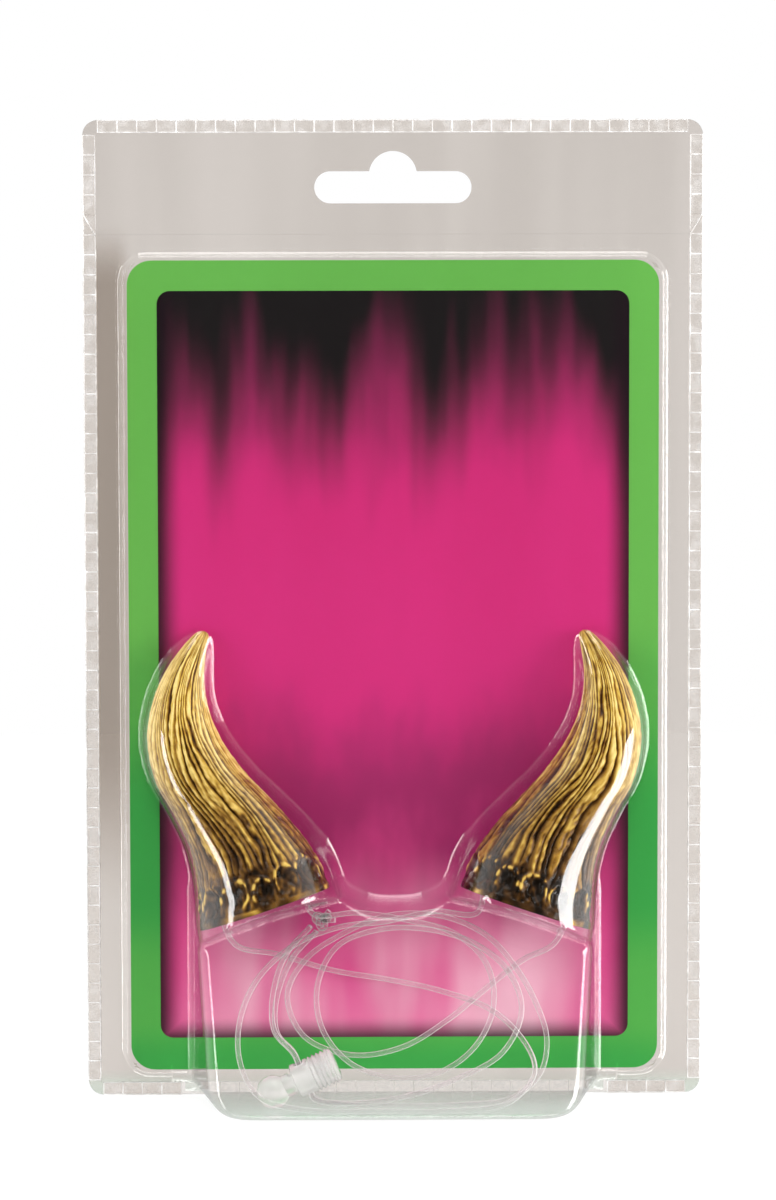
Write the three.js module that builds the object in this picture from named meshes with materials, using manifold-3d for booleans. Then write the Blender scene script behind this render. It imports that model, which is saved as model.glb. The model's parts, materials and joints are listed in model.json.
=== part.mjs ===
// A pair of moulded devil horns on an elastic cord, standing in their clear blister pack.
// Millimetres. Inside the pack group x runs to the right, y up from the bottom edge and
// z forward from the back face. The group is turned so that the pack stands with +Z up.
import * as THREE from "three";
import { mergeVertices } from "three/addons/utils/BufferGeometryUtils.js";
import Module from "manifold-3d";

const wasm = await Module();
wasm.setup();

// Pack and sheets
const PACK_WIDTH = 126;
const PACK_HEIGHT = 200;
const PACK_DEPTH = 32;
const PACK_CORNER = 3;
const SHEET = 0.4;
const GAP = 0.3;
const FLANGE_Z = SHEET + GAP;
const CUT_Z = FLANGE_Z - 0.5;

// Hang slot: a bar with round ends and a hump over its middle
const SLOT_WIDTH = 32;
const SLOT_BOTTOM = 183.1;
const SLOT_HEIGHT = 6.5;
const SLOT_HUMP_RADIUS = 4.9;
const SLOT_HUMP_TOP = 193.7;

// Printed card
const CARD_WIDTH = 108.4;
const CARD_BOTTOM = 5.2;
const CARD_TOP = 171.6;
const CARD_CORNER = 5;
const CARD_THICKNESS = 0.5;
const CARD_FACE_Z = FLANGE_Z + CARD_THICKNESS;

// Tray rim of the front shell, round the card
const TRAY_WIDTH = 113.2;
const TRAY_BOTTOM = 3.2;
const TRAY_TOP = 174;
const TRAY_SLOPE = 1.6;
const TRAY_HEIGHT = 4;
const TRAY_CORNER = 6.5;

// Wedge pocket for the cord, whose underside is the foot of the pack
const POCKET_HALF_WIDTH = 42;
const POCKET_DRAFT = 0.17;
const POCKET_SHOULDER_Y = 41.5;
const POCKET_SHOULDER_Z = 12.4;
const POCKET_TOP_Y = 46.5;
const POCKET_CORNER = 6;
const POCKET_EDGE = 4;
const POCKET_LIP = 1.5;
const POCKET_SMILE = 4;
const POCKET_SMILE_REACH = 22;
const POCKET_FALL = 5;
const POCKET_LEVELS = [0, 0.5, POCKET_LIP, 3, 6, 16, 28, 35, 37, 38.5, 40, 41.5, 43, 44.5];
const POCKET_FRONT_STEPS = 8;

// Right horn: its outer and inner edges as seen from the front, from the base to the tip
const HORN_OUTER_EDGE = [
  [39.8, 36], [39.9, 43], [41.4, 51.5], [45, 59.5], [48.6, 66],
  [50.3, 74], [49.4, 81.5], [46.8, 88], [43.1, 93.2], [39.9, 96.4],
];
const HORN_INNER_EDGE = [
  [13, 45], [16.3, 51.6], [20.6, 57.4], [25.8, 63], [31.2, 68.8],
  [35.2, 74.5], [37.8, 80.5], [38.7, 86.5], [38.2, 92], [37.5, 95.8],
];
const HORN_STATIONS = [0.015, 0.08, 0.16, 0.24, 0.32, 0.4, 0.48, 0.56, 0.64, 0.72, 0.8, 0.88, 0.95, 1];
const HORN_SIDES = 28;
const HORN_DEPTH_RATIO = 0.9;
const HORN_BASE_TILT = THREE.MathUtils.degToRad(5);
const HORN_WALL = 2;
const HORN_HOLLOW_STATIONS = [0.045, 0.15, 0.25, 0.35, 0.45, 0.55, 0.65, 0.7];
const HORN_REST_Z = CARD_FACE_Z + GAP;
const CORD_HOLE_RADIUS = 1.2;
const CORD_HOLE_OFFSET = 8.5;
const CORD_HOLE_Z = 9.2;

// Horn pockets of the front shell
const BUBBLE_CLEARANCE = 0.7;
const BUBBLE_OUTER_FLARE = 0.2;
const BUBBLE_INNER_FLARE = 7.9;
const BUBBLE_STATIONS = [0.04, 0.09, 0.18, 0.27, 0.36, 0.45, 0.54, 0.63, 0.72, 0.81, 0.9, 0.97];
const BUBBLE_ARCH = 14;
const BUBBLE_FLARE_STEPS = 5;
const BUBBLE_FLARE_POWER = 3;
const BUBBLE_LEDGE_DROP = 1;
const BUBBLE_LEDGE_SLOPE = 0.17;

// Elastic cord, from the knot round to the knot again
const CORD_DIAMETER = 1.1;
const CORD_SIDES = 8;
const CORD_ROUTE = [
  [-16, 34.5, 5.5], [-21, 29.4, 8.8], [-24.2, 21.5, 13.2], [-24, 15.4, 17.4], [-20.7, 12.1, 20.2],
  [-19.4, 9.2, 20.2], [-17.4, 4.8, 20.2], [-16.5, 2.8, 20.4], [-12.2, 1.7, 21.2], [1, 1.4, 22],
  [13.3, 1.5, 22], [23.4, 2.6, 20.8], [29.2, 7, 18.4], [30.8, 13.6, 15.2], [28.8, 20.4, 12.2],
  [24.8, 27.4, 9.6], [18.8, 33.8, 7.6], [10, 37.6, 6.4], [-1, 37.8, 5.8], [-11, 33.8, 5.8],
  [-18.4, 28.6, 6.2], [-22, 21.6, 7.6], [-18.6, 13.6, 10.2], [-9, 9.9, 11.4], [1.6, 11.4, 10.8],
  [11, 16.8, 9], [18.6, 22.8, 7.6], [26.2, 28.6, 6.8], [32.7, 32.5, 9.2], [35.2, 40, 9.2],
  [30.4, 44.4, 10.2], [24, 46.4, 10.2], [19.1, 45.4, 9.2], [16.8, 38.7, 9.2], [8.4, 39.1, 9.4],
  [-2, 37.2, 10.6], [-11, 36.4, 12], [-20.6, 32.8, 13.2], [-28, 26.2, 15.6], [-31.6, 18, 18.6],
  [-31.4, 10, 22.2], [-27.4, 3.8, 25.8], [-18.6, 1.6, 27.4], [-4, 1.4, 28], [11, 1.4, 28],
  [22.4, 2.6, 26.4], [27.8, 7.4, 22.4], [26.6, 12.4, 13.6], [19.9, 18.2, 6.4], [9.3, 22, 4.8],
  [-1.2, 24.2, 4], [-12.4, 26, 3.4], [-24, 29.6, 4.4], [-32.7, 32.5, 9.2], [-35.2, 40, 9.2],
  [-30.4, 44.4, 10.2], [-24, 46.4, 10.2], [-19.1, 45.4, 9.2], [-16.8, 38.7, 9.2], [-7.4, 38.6, 7.6],
  [3, 37, 7.8], [12, 34.6, 9.2], [18.4, 29, 11], [20.1, 21, 13.6], [16.6, 13, 16.6],
  [9, 7.6, 18.8], [-1, 6.6, 19.2], [-9.6, 9.6, 17.6], [-15, 16.2, 14.8], [-15.8, 24.4, 12],
  [-11.8, 32, 9.6], [-3, 35.4, 9.2], [7, 35.6, 11], [16.4, 32.8, 12.6], [23.2, 27.2, 14.4],
  [25.6, 19.8, 17], [21.6, 11.8, 20.2], [12.6, 7, 22.6], [3.2, 4, 24.2], [-7.4, 2.4, 24.4],
  [-16.5, 2.8, 22], [-17.4, 4.8, 21.8], [-19.4, 9.2, 21.8], [-20.7, 12.1, 21.8], [-24.4, 15.9, 19.2],
  [-25, 22.2, 15.2], [-22.4, 30.2, 10.4], [-17.2, 35.6, 6],
];
const KNOT_CENTRE = [-14.9, 36.6, 4.4];
const KNOT_RADIUS = 2.2;

// Cord lock: the cross hole is at its centre, the button to the left, the barrel to the right
const LOCK_CENTRE = [-18.4, 7, 21];
const LOCK_ANGLE = THREE.MathUtils.degToRad(24.5);
const LOCK_SIDES = 24;
const BARREL_RADIUS = 3.7;
const BARREL_START = -2.2;
const BARREL_END = 7;
const BORE_RADIUS = 2.6;
const BORE_END = 6;
const STEM_RADIUS = 2.3;
const STEM_END = 2.2;
const BUTTON_RADIUS = 3.4;
const BUTTON_CENTRE = -7;
const CROSS_HOLE_WIDTH = 3.4;
const CROSS_HOLE_LENGTH = 2;
const BUTTON_TRAVEL = 2;
const SPRING_OUTER = 2.25;
const SPRING_INNER = 1.45;

function toSolid(geometry) {
  const bare = geometry.index ? geometry.toNonIndexed() : geometry.clone();
  bare.deleteAttribute("normal");
  bare.deleteAttribute("uv");
  const merged = mergeVertices(bare, 1e-4);
  const mesh = new wasm.Mesh({
    numProp: 3,
    vertProperties: new Float32Array(merged.attributes.position.array),
    triVerts: new Uint32Array(merged.index.array),
  });
  return new wasm.Manifold(mesh);
}

function toGeometry(solid) {
  const mesh = solid.getMesh();
  const geometry = new THREE.BufferGeometry();
  geometry.setAttribute("position", new THREE.BufferAttribute(new Float32Array(mesh.vertProperties), 3));
  geometry.setIndex(new THREE.BufferAttribute(new Uint32Array(mesh.triVerts), 1));
  geometry.computeVertexNormals();
  return geometry;
}

// A closed skin over rings of points, with a fan from the middle of each end ring.
function loft(rings) {
  const sides = rings[0].length;
  const faces = [];
  for (let i = 0; i + 1 < rings.length; i += 1) {
    for (let j = 0; j < sides; j += 1) {
      const k = (j + 1) % sides;
      faces.push([rings[i][j], rings[i][k], rings[i + 1][k]]);
      faces.push([rings[i][j], rings[i + 1][k], rings[i + 1][j]]);
    }
  }
  for (const [ring, first] of [[rings[0], true], [rings[rings.length - 1], false]]) {
    const middle = ring.reduce((sum, p) => sum.add(p), new THREE.Vector3()).divideScalar(sides);
    for (let j = 0; j < sides; j += 1) {
      const k = (j + 1) % sides;
      faces.push(first ? [middle, ring[k], ring[j]] : [middle, ring[j], ring[k]]);
    }
  }
  const volume = faces.reduce((sum, [a, b, c]) => sum + a.dot(b.clone().cross(c)), 0);
  const turned = volume < 0 ? faces.map(([a, b, c]) => [a, c, b]) : faces;
  const geometry = new THREE.BufferGeometry();
  const points = turned.flat();
  geometry.setFromPoints(points);
  return geometry;
}

function roundedOutline(shape, halfWidth, bottom, top, radius) {
  shape.moveTo(-halfWidth + radius, bottom);
  shape.lineTo(halfWidth - radius, bottom);
  shape.absarc(halfWidth - radius, bottom + radius, radius, -Math.PI / 2, 0, false);
  shape.lineTo(halfWidth, top - radius);
  shape.absarc(halfWidth - radius, top - radius, radius, 0, Math.PI / 2, false);
  shape.lineTo(-halfWidth + radius, top);
  shape.absarc(-halfWidth + radius, top - radius, radius, Math.PI / 2, Math.PI, false);
  shape.lineTo(-halfWidth, bottom + radius);
  shape.absarc(-halfWidth + radius, bottom + radius, radius, Math.PI, Math.PI * 1.5, false);
  return shape;
}

function plate(shape, thickness, z) {
  const geometry = new THREE.ExtrudeGeometry(shape, { depth: thickness, bevelEnabled: false, curveSegments: 8 });
  return geometry.translate(0, 0, z);
}

function slotHole() {
  const radius = SLOT_HEIGHT / 2;
  const end = SLOT_WIDTH / 2 - radius;
  const top = SLOT_BOTTOM + SLOT_HEIGHT;
  const humpY = SLOT_HUMP_TOP - SLOT_HUMP_RADIUS;
  const humpAngle = Math.asin((top - humpY) / SLOT_HUMP_RADIUS);
  const hole = new THREE.Path();
  hole.moveTo(-end, SLOT_BOTTOM);
  hole.lineTo(end, SLOT_BOTTOM);
  hole.absarc(end, SLOT_BOTTOM + radius, radius, -Math.PI / 2, Math.PI / 2, false);
  hole.absarc(0, humpY, SLOT_HUMP_RADIUS, humpAngle, Math.PI - humpAngle, false);
  hole.lineTo(-end, top);
  hole.absarc(-end, SLOT_BOTTOM + radius, radius, Math.PI / 2, Math.PI * 1.5, false);
  return hole;
}

function sheetWithSlot(z) {
  const shape = roundedOutline(new THREE.Shape(), PACK_WIDTH / 2, 0, PACK_HEIGHT, PACK_CORNER);
  shape.holes.push(slotHole());
  return plate(shape, SHEET, z);
}

function outlineRing(halfWidth, bottom, top, radius, z) {
  const ring = [];
  const corners = [[1, bottom + radius], [1, top - radius], [-1, top - radius], [-1, bottom + radius]];
  corners.forEach(([side, y], quarter) => {
    for (let i = 0; i <= 6; i += 1) {
      const turn = (quarter - 1 + i / 6) * (Math.PI / 2);
      const x = side * (halfWidth - radius) + radius * Math.cos(turn);
      ring.push(new THREE.Vector3(x, y + radius * Math.sin(turn), z));
    }
  });
  return ring;
}

function tray(inset, bottomZ) {
  const half = TRAY_WIDTH / 2 - inset;
  const root = outlineRing(half, TRAY_BOTTOM + inset, TRAY_TOP - inset, TRAY_CORNER, bottomZ);
  const slope = TRAY_SLOPE;
  const rim = outlineRing(
    half - slope,
    TRAY_BOTTOM + inset + slope,
    TRAY_TOP - inset - slope,
    TRAY_CORNER - slope,
    TRAY_HEIGHT - inset,
  );
  return loft([root, rim]);
}

// How far forward the wedge pocket is: a slanted front that ends in a smile-shaped top edge.
function pocketFront(x, y, inset) {
  const rising = Math.max(0, y - inset - POCKET_LIP);
  const slant = THREE.MathUtils.lerp(PACK_DEPTH, POCKET_SHOULDER_Z, rising / (POCKET_SHOULDER_Y - POCKET_LIP));
  const smile = POCKET_SMILE * (1 - THREE.MathUtils.smoothstep(Math.abs(x), 2, POCKET_SMILE_REACH));
  const top = POCKET_TOP_Y - inset - smile;
  const lip = Math.max(0, POCKET_LIP - y + inset);
  const fall = THREE.MathUtils.smoothstep(y, top - POCKET_FALL, top);
  return THREE.MathUtils.lerp(slant, TRAY_HEIGHT - 1, fall) - inset - lip * lip * 0.5;
}

// One level of the wedge pocket: its section on a horizontal plane.
function pocketRing(y, inset, backZ) {
  const rise = Math.max(0, POCKET_CORNER - y + inset);
  const corner = POCKET_CORNER - Math.sqrt(POCKET_CORNER ** 2 - rise ** 2);
  const halfAt = (z) => POCKET_HALF_WIDTH - (z - 3) * POCKET_DRAFT - inset - corner;
  const front = pocketFront(POCKET_HALF_WIDTH, y, inset);
  const edge = Math.min(POCKET_EDGE, (front - backZ) * 0.6);
  const faceHalf = halfAt(front - edge) - edge;
  const right = [new THREE.Vector3(halfAt(backZ), y, backZ)];
  for (let i = 0; i <= 5; i += 1) {
    const turn = (i / 5) * (Math.PI / 2);
    const z = front - edge + edge * Math.sin(turn);
    right.push(new THREE.Vector3(faceHalf + edge * Math.cos(turn), y, z));
  }
  for (let i = 1; i < POCKET_FRONT_STEPS; i += 1) {
    const x = faceHalf * (1 - i / POCKET_FRONT_STEPS);
    right.push(new THREE.Vector3(x, y, pocketFront(x, y, inset)));
  }
  const left = right.map((p) => new THREE.Vector3(-p.x, p.y, p.z)).reverse();
  return [...right, ...left];
}

function cordPocket(inset, backZ) {
  const levels = POCKET_LEVELS.map((level) => level + inset);
  levels.push(POCKET_TOP_Y - inset);
  return loft(levels.map((level) => pocketRing(level, inset, backZ)));
}

function edgeCurve(points) {
  return new THREE.CatmullRomCurve3(points.map(([x, y]) => new THREE.Vector3(x, y, 0)), false, "centripetal");
}

const outerEdge = edgeCurve(HORN_OUTER_EDGE);
const innerEdge = edgeCurve(HORN_INNER_EDGE);

// A rung across the horn: middle, half width, half depth, and the way out and along.
function hornRung(u) {
  const a = outerEdge.getPointAt(u);
  const b = innerEdge.getPointAt(u);
  const middle = a.clone().add(b).multiplyScalar(0.5);
  const out = a.clone().sub(b);
  const half = out.length() / 2;
  out.normalize();
  const along = new THREE.Vector3(-out.y, out.x, 0);
  const depth = half * HORN_DEPTH_RATIO;
  const tilt = Math.tan(HORN_BASE_TILT) * Math.max(0, 1 - u / 0.6);
  return { middle, out, along, half, depth, tilt, z: HORN_REST_Z + depth };
}

function rungPoint(rung, across, z, shift, side) {
  const point = rung.middle.clone();
  point.addScaledVector(rung.out, across);
  point.addScaledVector(rung.along, shift + (z - rung.z) * rung.tilt);
  return new THREE.Vector3(point.x * side, point.y, z);
}

function hornRing(u, wall, side, scale = 1) {
  const rung = hornRung(u);
  const ring = [];
  for (let i = 0; i < HORN_SIDES; i += 1) {
    const turn = (i / HORN_SIDES) * Math.PI * 2;
    const across = (rung.half - wall) * scale * Math.cos(turn);
    const z = rung.z + (rung.depth - wall) * scale * Math.sin(turn);
    ring.push(rungPoint(rung, across, z, 0, side));
  }
  return ring;
}

function cordHole(position, side) {
  const rung = hornRung(0);
  const centre = rungPoint(rung, position * CORD_HOLE_OFFSET, CORD_HOLE_Z, 1, side);
  const along = rungPoint(rung, position * CORD_HOLE_OFFSET, CORD_HOLE_Z, 2, side).sub(centre);
  const geometry = new THREE.CylinderGeometry(CORD_HOLE_RADIUS, CORD_HOLE_RADIUS, 10, 12);
  const turn = new THREE.Quaternion().setFromUnitVectors(new THREE.Vector3(0, 1, 0), along.normalize());
  return geometry.applyQuaternion(turn).translate(centre.x, centre.y, centre.z);
}

function horn(side) {
  const rings = [hornRing(0, 0, side, 0.96)];
  for (const u of HORN_STATIONS) {
    rings.push(hornRing(u, 0, side));
  }
  const hollow = HORN_HOLLOW_STATIONS.map((u) => hornRing(u, HORN_WALL, side));
  return toSolid(loft(rings))
    .subtract(toSolid(loft(hollow)))
    .subtract(toSolid(cordHole(1, side)))
    .subtract(toSolid(cordHole(-1, side)));
}

// The foot of a pocket wall: steep beside the horn, then running out flat over the card.
function bubbleFlare(rung, start, reach, backZ, shift, side) {
  const points = [];
  for (let i = 1; i <= BUBBLE_FLARE_STEPS; i += 1) {
    const share = i / BUBBLE_FLARE_STEPS;
    const z = THREE.MathUtils.lerp(backZ, rung.z, (1 - share) ** BUBBLE_FLARE_POWER);
    points.push(rungPoint(rung, start + reach * share, z, shift, side));
  }
  return points;
}

// The arched pocket over a horn, with a wide flare on the side towards the other horn.
function bubbleRing(u, inset, backZ, side, shift, shrink = 1, ledge = 0) {
  const rung = hornRung(u);
  const spread = BUBBLE_CLEARANCE + SHEET - inset;
  const half = (rung.half + spread) * shrink;
  const height = (rung.depth + spread) * shrink;
  const widening = THREE.MathUtils.smoothstep(u, -0.09, 0.24);
  const inner = BUBBLE_OUTER_FLARE + BUBBLE_INNER_FLARE * (1 - u) * widening;
  const foot = shift - ledge * height;
  const arch = [];
  for (let i = 0; i <= BUBBLE_ARCH; i += 1) {
    const turn = (i / BUBBLE_ARCH) * Math.PI;
    const rise = height * Math.sin(turn);
    arch.push(rungPoint(rung, half * Math.cos(turn), rung.z + rise, foot + ledge * rise, side));
  }
  const outside = bubbleFlare(rung, half, BUBBLE_OUTER_FLARE, backZ, foot, side);
  const inside = bubbleFlare(rung, -half, -inner, backZ, foot, side);
  return [...outside.reverse(), ...arch, ...inside];
}

function bubble(inset, backZ, side) {
  const reach = BUBBLE_CLEARANCE + SHEET - inset;
  const rings = [bubbleRing(0, inset, backZ, side, inset - BUBBLE_LEDGE_DROP, 1, BUBBLE_LEDGE_SLOPE)];
  for (const u of BUBBLE_STATIONS) {
    rings.push(bubbleRing(u, inset, backZ, side, 0));
  }
  rings.push(bubbleRing(1, inset, backZ, side, 0));
  rings.push(bubbleRing(1, inset, backZ, side, reach, 0.6));
  return loft(rings);
}

function frontShell() {
  const outside = [tray(0, FLANGE_Z), cordPocket(0, FLANGE_Z), bubble(0, FLANGE_Z, 1), bubble(0, FLANGE_Z, -1)];
  const inside = [tray(SHEET, CUT_Z), cordPocket(SHEET, CUT_Z), bubble(SHEET, CUT_Z, 1), bubble(SHEET, CUT_Z, -1)];
  let shell = toSolid(sheetWithSlot(FLANGE_Z));
  for (const geometry of outside) {
    shell = shell.add(toSolid(geometry));
  }
  for (const geometry of inside) {
    shell = shell.subtract(toSolid(geometry));
  }
  return shell;
}

// The cord's rings sit on the route's own points.
class RouteCurve extends THREE.CatmullRomCurve3 {
  getPointAt(u, target) {
    return this.getPoint(u, target);
  }

  getTangentAt(u, target) {
    return this.getTangent(u, target);
  }
}

function cordGeometry() {
  const route = new RouteCurve(CORD_ROUTE.map((p) => new THREE.Vector3(...p)), false, "centripetal");
  const section = new THREE.Shape();
  for (let i = 0; i < CORD_SIDES; i += 1) {
    const turn = (i / CORD_SIDES) * Math.PI * 2;
    const x = (CORD_DIAMETER / 2) * Math.cos(turn);
    const y = (CORD_DIAMETER / 2) * Math.sin(turn);
    if (i === 0) {
      section.moveTo(x, y);
    } else {
      section.lineTo(x, y);
    }
  }
  const options = { steps: CORD_ROUTE.length - 1, extrudePath: route, bevelEnabled: false };
  return new THREE.ExtrudeGeometry(section, options);
}

function lathe(profile) {
  const points = profile.map(([radius, along]) => new THREE.Vector2(radius, along));
  return new THREE.LatheGeometry(points, LOCK_SIDES);
}

function lockBarrel() {
  const body = lathe([
    [BORE_RADIUS, BARREL_START], [BARREL_RADIUS - 0.3, BARREL_START], [BARREL_RADIUS, BARREL_START + 0.3],
    [BARREL_RADIUS, BARREL_END - 0.9], [BARREL_RADIUS - 0.35, BARREL_END - 0.3],
    [BARREL_RADIUS - 1.1, BARREL_END], [0, BARREL_END],
    [0, BORE_END], [BORE_RADIUS, BORE_END], [BORE_RADIUS, BARREL_START],
  ]);
  const hole = new THREE.BoxGeometry(BARREL_RADIUS * 3, CROSS_HOLE_LENGTH, CROSS_HOLE_WIDTH);
  return toSolid(body).subtract(toSolid(hole));
}

function lockPlunger() {
  const profile = [[0, STEM_END], [STEM_RADIUS, STEM_END]];
  const start = Math.asin(STEM_RADIUS / BUTTON_RADIUS);
  for (let i = 0; i <= 8; i += 1) {
    const turn = THREE.MathUtils.lerp(start, Math.PI, i / 8);
    const radius = i === 8 ? 0 : BUTTON_RADIUS * Math.sin(turn);
    profile.push([radius, BUTTON_CENTRE + BUTTON_RADIUS * Math.cos(turn)]);
  }
  const length = CROSS_HOLE_LENGTH + BUTTON_TRAVEL;
  const hole = new THREE.BoxGeometry(STEM_RADIUS * 4, length, CROSS_HOLE_WIDTH);
  hole.translate(0, CROSS_HOLE_LENGTH / 2 - length / 2, 0);
  return toSolid(lathe(profile.reverse())).subtract(toSolid(hole));
}

function lockSpring() {
  const start = STEM_END + GAP;
  const end = BORE_END - GAP;
  return lathe([
    [SPRING_INNER, start], [SPRING_OUTER, start], [SPRING_OUTER, end], [SPRING_INNER, end], [SPRING_INNER, start],
  ]);
}

function part(name, geometry, color, roughness, metalness, more = {}) {
  const material = new THREE.MeshStandardMaterial({ color, roughness, metalness, ...more });
  const mesh = new THREE.Mesh(geometry, material);
  mesh.name = name;
  return mesh;
}

const clear = { transparent: true, opacity: 0.3 };
const pack = new THREE.Group();
pack.rotation.x = Math.PI / 2;
pack.position.set(0, PACK_DEPTH / 2, 0);

const cardShape = roundedOutline(new THREE.Shape(), CARD_WIDTH / 2, CARD_BOTTOM, CARD_TOP, CARD_CORNER);
pack.add(part("back_sheet", sheetWithSlot(0), 0xd8d6d3, 0.15, 0, clear));
pack.add(part("card", plate(cardShape, CARD_THICKNESS, FLANGE_Z), 0xc0247a, 0.5, 0));
pack.add(part("front_shell", toGeometry(frontShell()), 0xd8d6d3, 0.1, 0, clear));
pack.add(part("horn_right", toGeometry(horn(1)), 0xa9863a, 0.4, 0));
pack.add(part("horn_left", toGeometry(horn(-1)), 0xa9863a, 0.4, 0));
pack.add(part("elastic_cord", cordGeometry(), 0xece6e8, 0.2, 0, clear));

const knot = part("cord_knot", new THREE.SphereGeometry(KNOT_RADIUS, 12, 8), 0xece6e8, 0.2, 0, clear);
knot.position.set(...KNOT_CENTRE);
pack.add(knot);

const lock = new THREE.Group();
lock.position.set(...LOCK_CENTRE);
lock.rotation.z = LOCK_ANGLE - Math.PI / 2;
lock.add(part("lock_barrel", toGeometry(lockBarrel()), 0xe8e4e6, 0.15, 0, clear));
lock.add(part("lock_plunger", toGeometry(lockPlunger()), 0xe8e4e6, 0.15, 0, clear));
lock.add(part("lock_spring", lockSpring(), 0xd2d2d6, 0.3, 0.9));
pack.add(lock);

const devilHorns = new THREE.Group();
devilHorns.add(pack);
devilHorns.updateMatrixWorld(true);

export default devilHorns;
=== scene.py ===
# %% [markdown]
# # Devil horns on a blister card
# Two moulded horns on a clear elastic cord stand in their clear pack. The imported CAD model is
# the fixed frame: every piece below is built at the CAD's own sizes and moves with its bodies.

import json
import math

import bmesh
import bpy
import numpy as np
from mathutils import Euler, Matrix, Vector, noise


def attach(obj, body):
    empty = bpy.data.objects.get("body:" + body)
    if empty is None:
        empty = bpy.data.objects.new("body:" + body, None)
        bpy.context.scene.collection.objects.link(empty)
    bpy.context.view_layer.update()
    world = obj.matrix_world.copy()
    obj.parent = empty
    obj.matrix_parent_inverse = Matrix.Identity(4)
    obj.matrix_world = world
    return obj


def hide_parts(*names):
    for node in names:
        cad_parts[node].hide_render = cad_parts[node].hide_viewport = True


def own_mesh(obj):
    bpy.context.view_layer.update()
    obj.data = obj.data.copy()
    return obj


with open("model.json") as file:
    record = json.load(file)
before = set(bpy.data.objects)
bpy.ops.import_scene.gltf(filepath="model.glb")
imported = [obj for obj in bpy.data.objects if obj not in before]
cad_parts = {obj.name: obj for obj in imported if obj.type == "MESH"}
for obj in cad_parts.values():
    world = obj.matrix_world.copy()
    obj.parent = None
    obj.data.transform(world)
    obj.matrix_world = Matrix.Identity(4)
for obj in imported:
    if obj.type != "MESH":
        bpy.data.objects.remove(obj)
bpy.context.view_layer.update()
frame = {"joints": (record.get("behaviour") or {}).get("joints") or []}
scene = bpy.context.scene
scene.view_settings.view_transform = "Standard"

# %% [markdown]
# The pack is easiest to measure as it lies on a bench: x to the right, y up from its bottom edge
# and z forward from its back, in millimetres. One matrix then stands it up in the row's frame.

# %% Standing the pack up
MM = 0.001
PACK_DEPTH = 32
STAND = (
    Matrix.Translation((0, PACK_DEPTH / 2 * MM, 0))
    @ Matrix.Rotation(math.pi / 2, 4, "X")
    @ Matrix.Scale(MM, 4)
)


def stood(point):
    return STAND @ Vector(point)


print("foot of the back sheet at", [round(c, 3) for c in stood((0, 0, 0))])

# %% [markdown]
# A long lens a metre away, a little above the middle of the pack and looking slightly down. The
# object turns by these three small angles in front of a fixed camera, so the camera gets the
# inverse turn.

# %% Camera
LENS_MM = 146.4
CAMERA_DISTANCE = 1000
AIM = Vector((0, 100, 0))
TURN_DEGREES = (4.89, 0.86, 0.17)
PACK_TURN = Euler([math.radians(turn) for turn in TURN_DEGREES], "XYZ").to_matrix()
IMAGE_HEIGHT = 1200
SHIFT_PIXELS = (-5.6, 10.2)
CLIP_START = 0.01

camera_data = bpy.data.cameras.new("camera")
camera_data.lens = LENS_MM
camera_data.shift_x = SHIFT_PIXELS[0] / IMAGE_HEIGHT
camera_data.shift_y = SHIFT_PIXELS[1] / IMAGE_HEIGHT
camera_data.clip_start = CLIP_START
camera = bpy.data.objects.new("camera", camera_data)
scene.collection.objects.link(camera)
camera_place = stood(AIM + PACK_TURN.transposed() @ Vector((0, 0, CAMERA_DISTANCE)))
camera_turn = Matrix.Rotation(math.pi / 2, 3, "X") @ PACK_TURN.transposed()
camera.matrix_world = Matrix.Translation(camera_place) @ camera_turn.to_4x4()
scene.camera = camera
print("camera at", [round(c, 3) for c in camera_place])

# %% [markdown]
# Small helpers for the finishes: a colour from its screen values, a node with its inputs set or
# linked in one go, and the few nodes that every finish below uses.

# %% Finish helpers


def paint(red, green, blue):
    def linear(value):
        value = value / 255
        return value / 12.92 if value <= 0.04045 else ((value + 0.055) / 1.055) ** 2.4

    return (linear(red), linear(green), linear(blue), 1.0)


def add_node(tree, kind, inputs=None, **settings):
    node = tree.nodes.new(kind)
    for key, value in settings.items():
        setattr(node, key, value)
    for key, value in (inputs or {}).items():
        if isinstance(value, bpy.types.NodeSocket):
            tree.links.new(value, node.inputs[key])
        else:
            node.inputs[key].default_value = value
    return node


def new_finish(name):
    material = bpy.data.materials.new(name)
    material.use_nodes = True
    material.node_tree.nodes.clear()
    return material, material.node_tree


def show(tree, shader):
    add_node(tree, "ShaderNodeOutputMaterial", {"Surface": shader})


def surface(tree, inputs):
    return add_node(tree, "ShaderNodeBsdfPrincipled", inputs).outputs[0]


def see_through(tree, colour):
    return add_node(tree, "ShaderNodeBsdfTransparent", {"Color": colour}).outputs[0]


def mixed(tree, share, first, second):
    return add_node(tree, "ShaderNodeMixShader", {0: share, 1: first, 2: second}).outputs[0]


def object_place(tree):
    return add_node(tree, "ShaderNodeTexCoord").outputs["Object"]


def axis_of(tree, place, axis):
    return add_node(tree, "ShaderNodeSeparateXYZ", {0: place}).outputs[axis]


def noise_on(tree, place, scale, detail=3.0, roughness=0.5):
    """Noise with a scale for each axis, or one scale for all three."""
    scale = scale if isinstance(scale, tuple) else (scale, scale, scale)
    stretched = add_node(tree, "ShaderNodeMapping", {"Vector": place, "Scale": scale}).outputs[0]
    inputs = {"Vector": stretched, "Scale": 1.0, "Detail": detail, "Roughness": roughness}
    return add_node(tree, "ShaderNodeTexNoise", inputs).outputs[0]


def bumped(tree, height, distance, strength):
    inputs = {"Height": height, "Distance": distance, "Strength": strength}
    return add_node(tree, "ShaderNodeBump", inputs).outputs[0]


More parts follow.
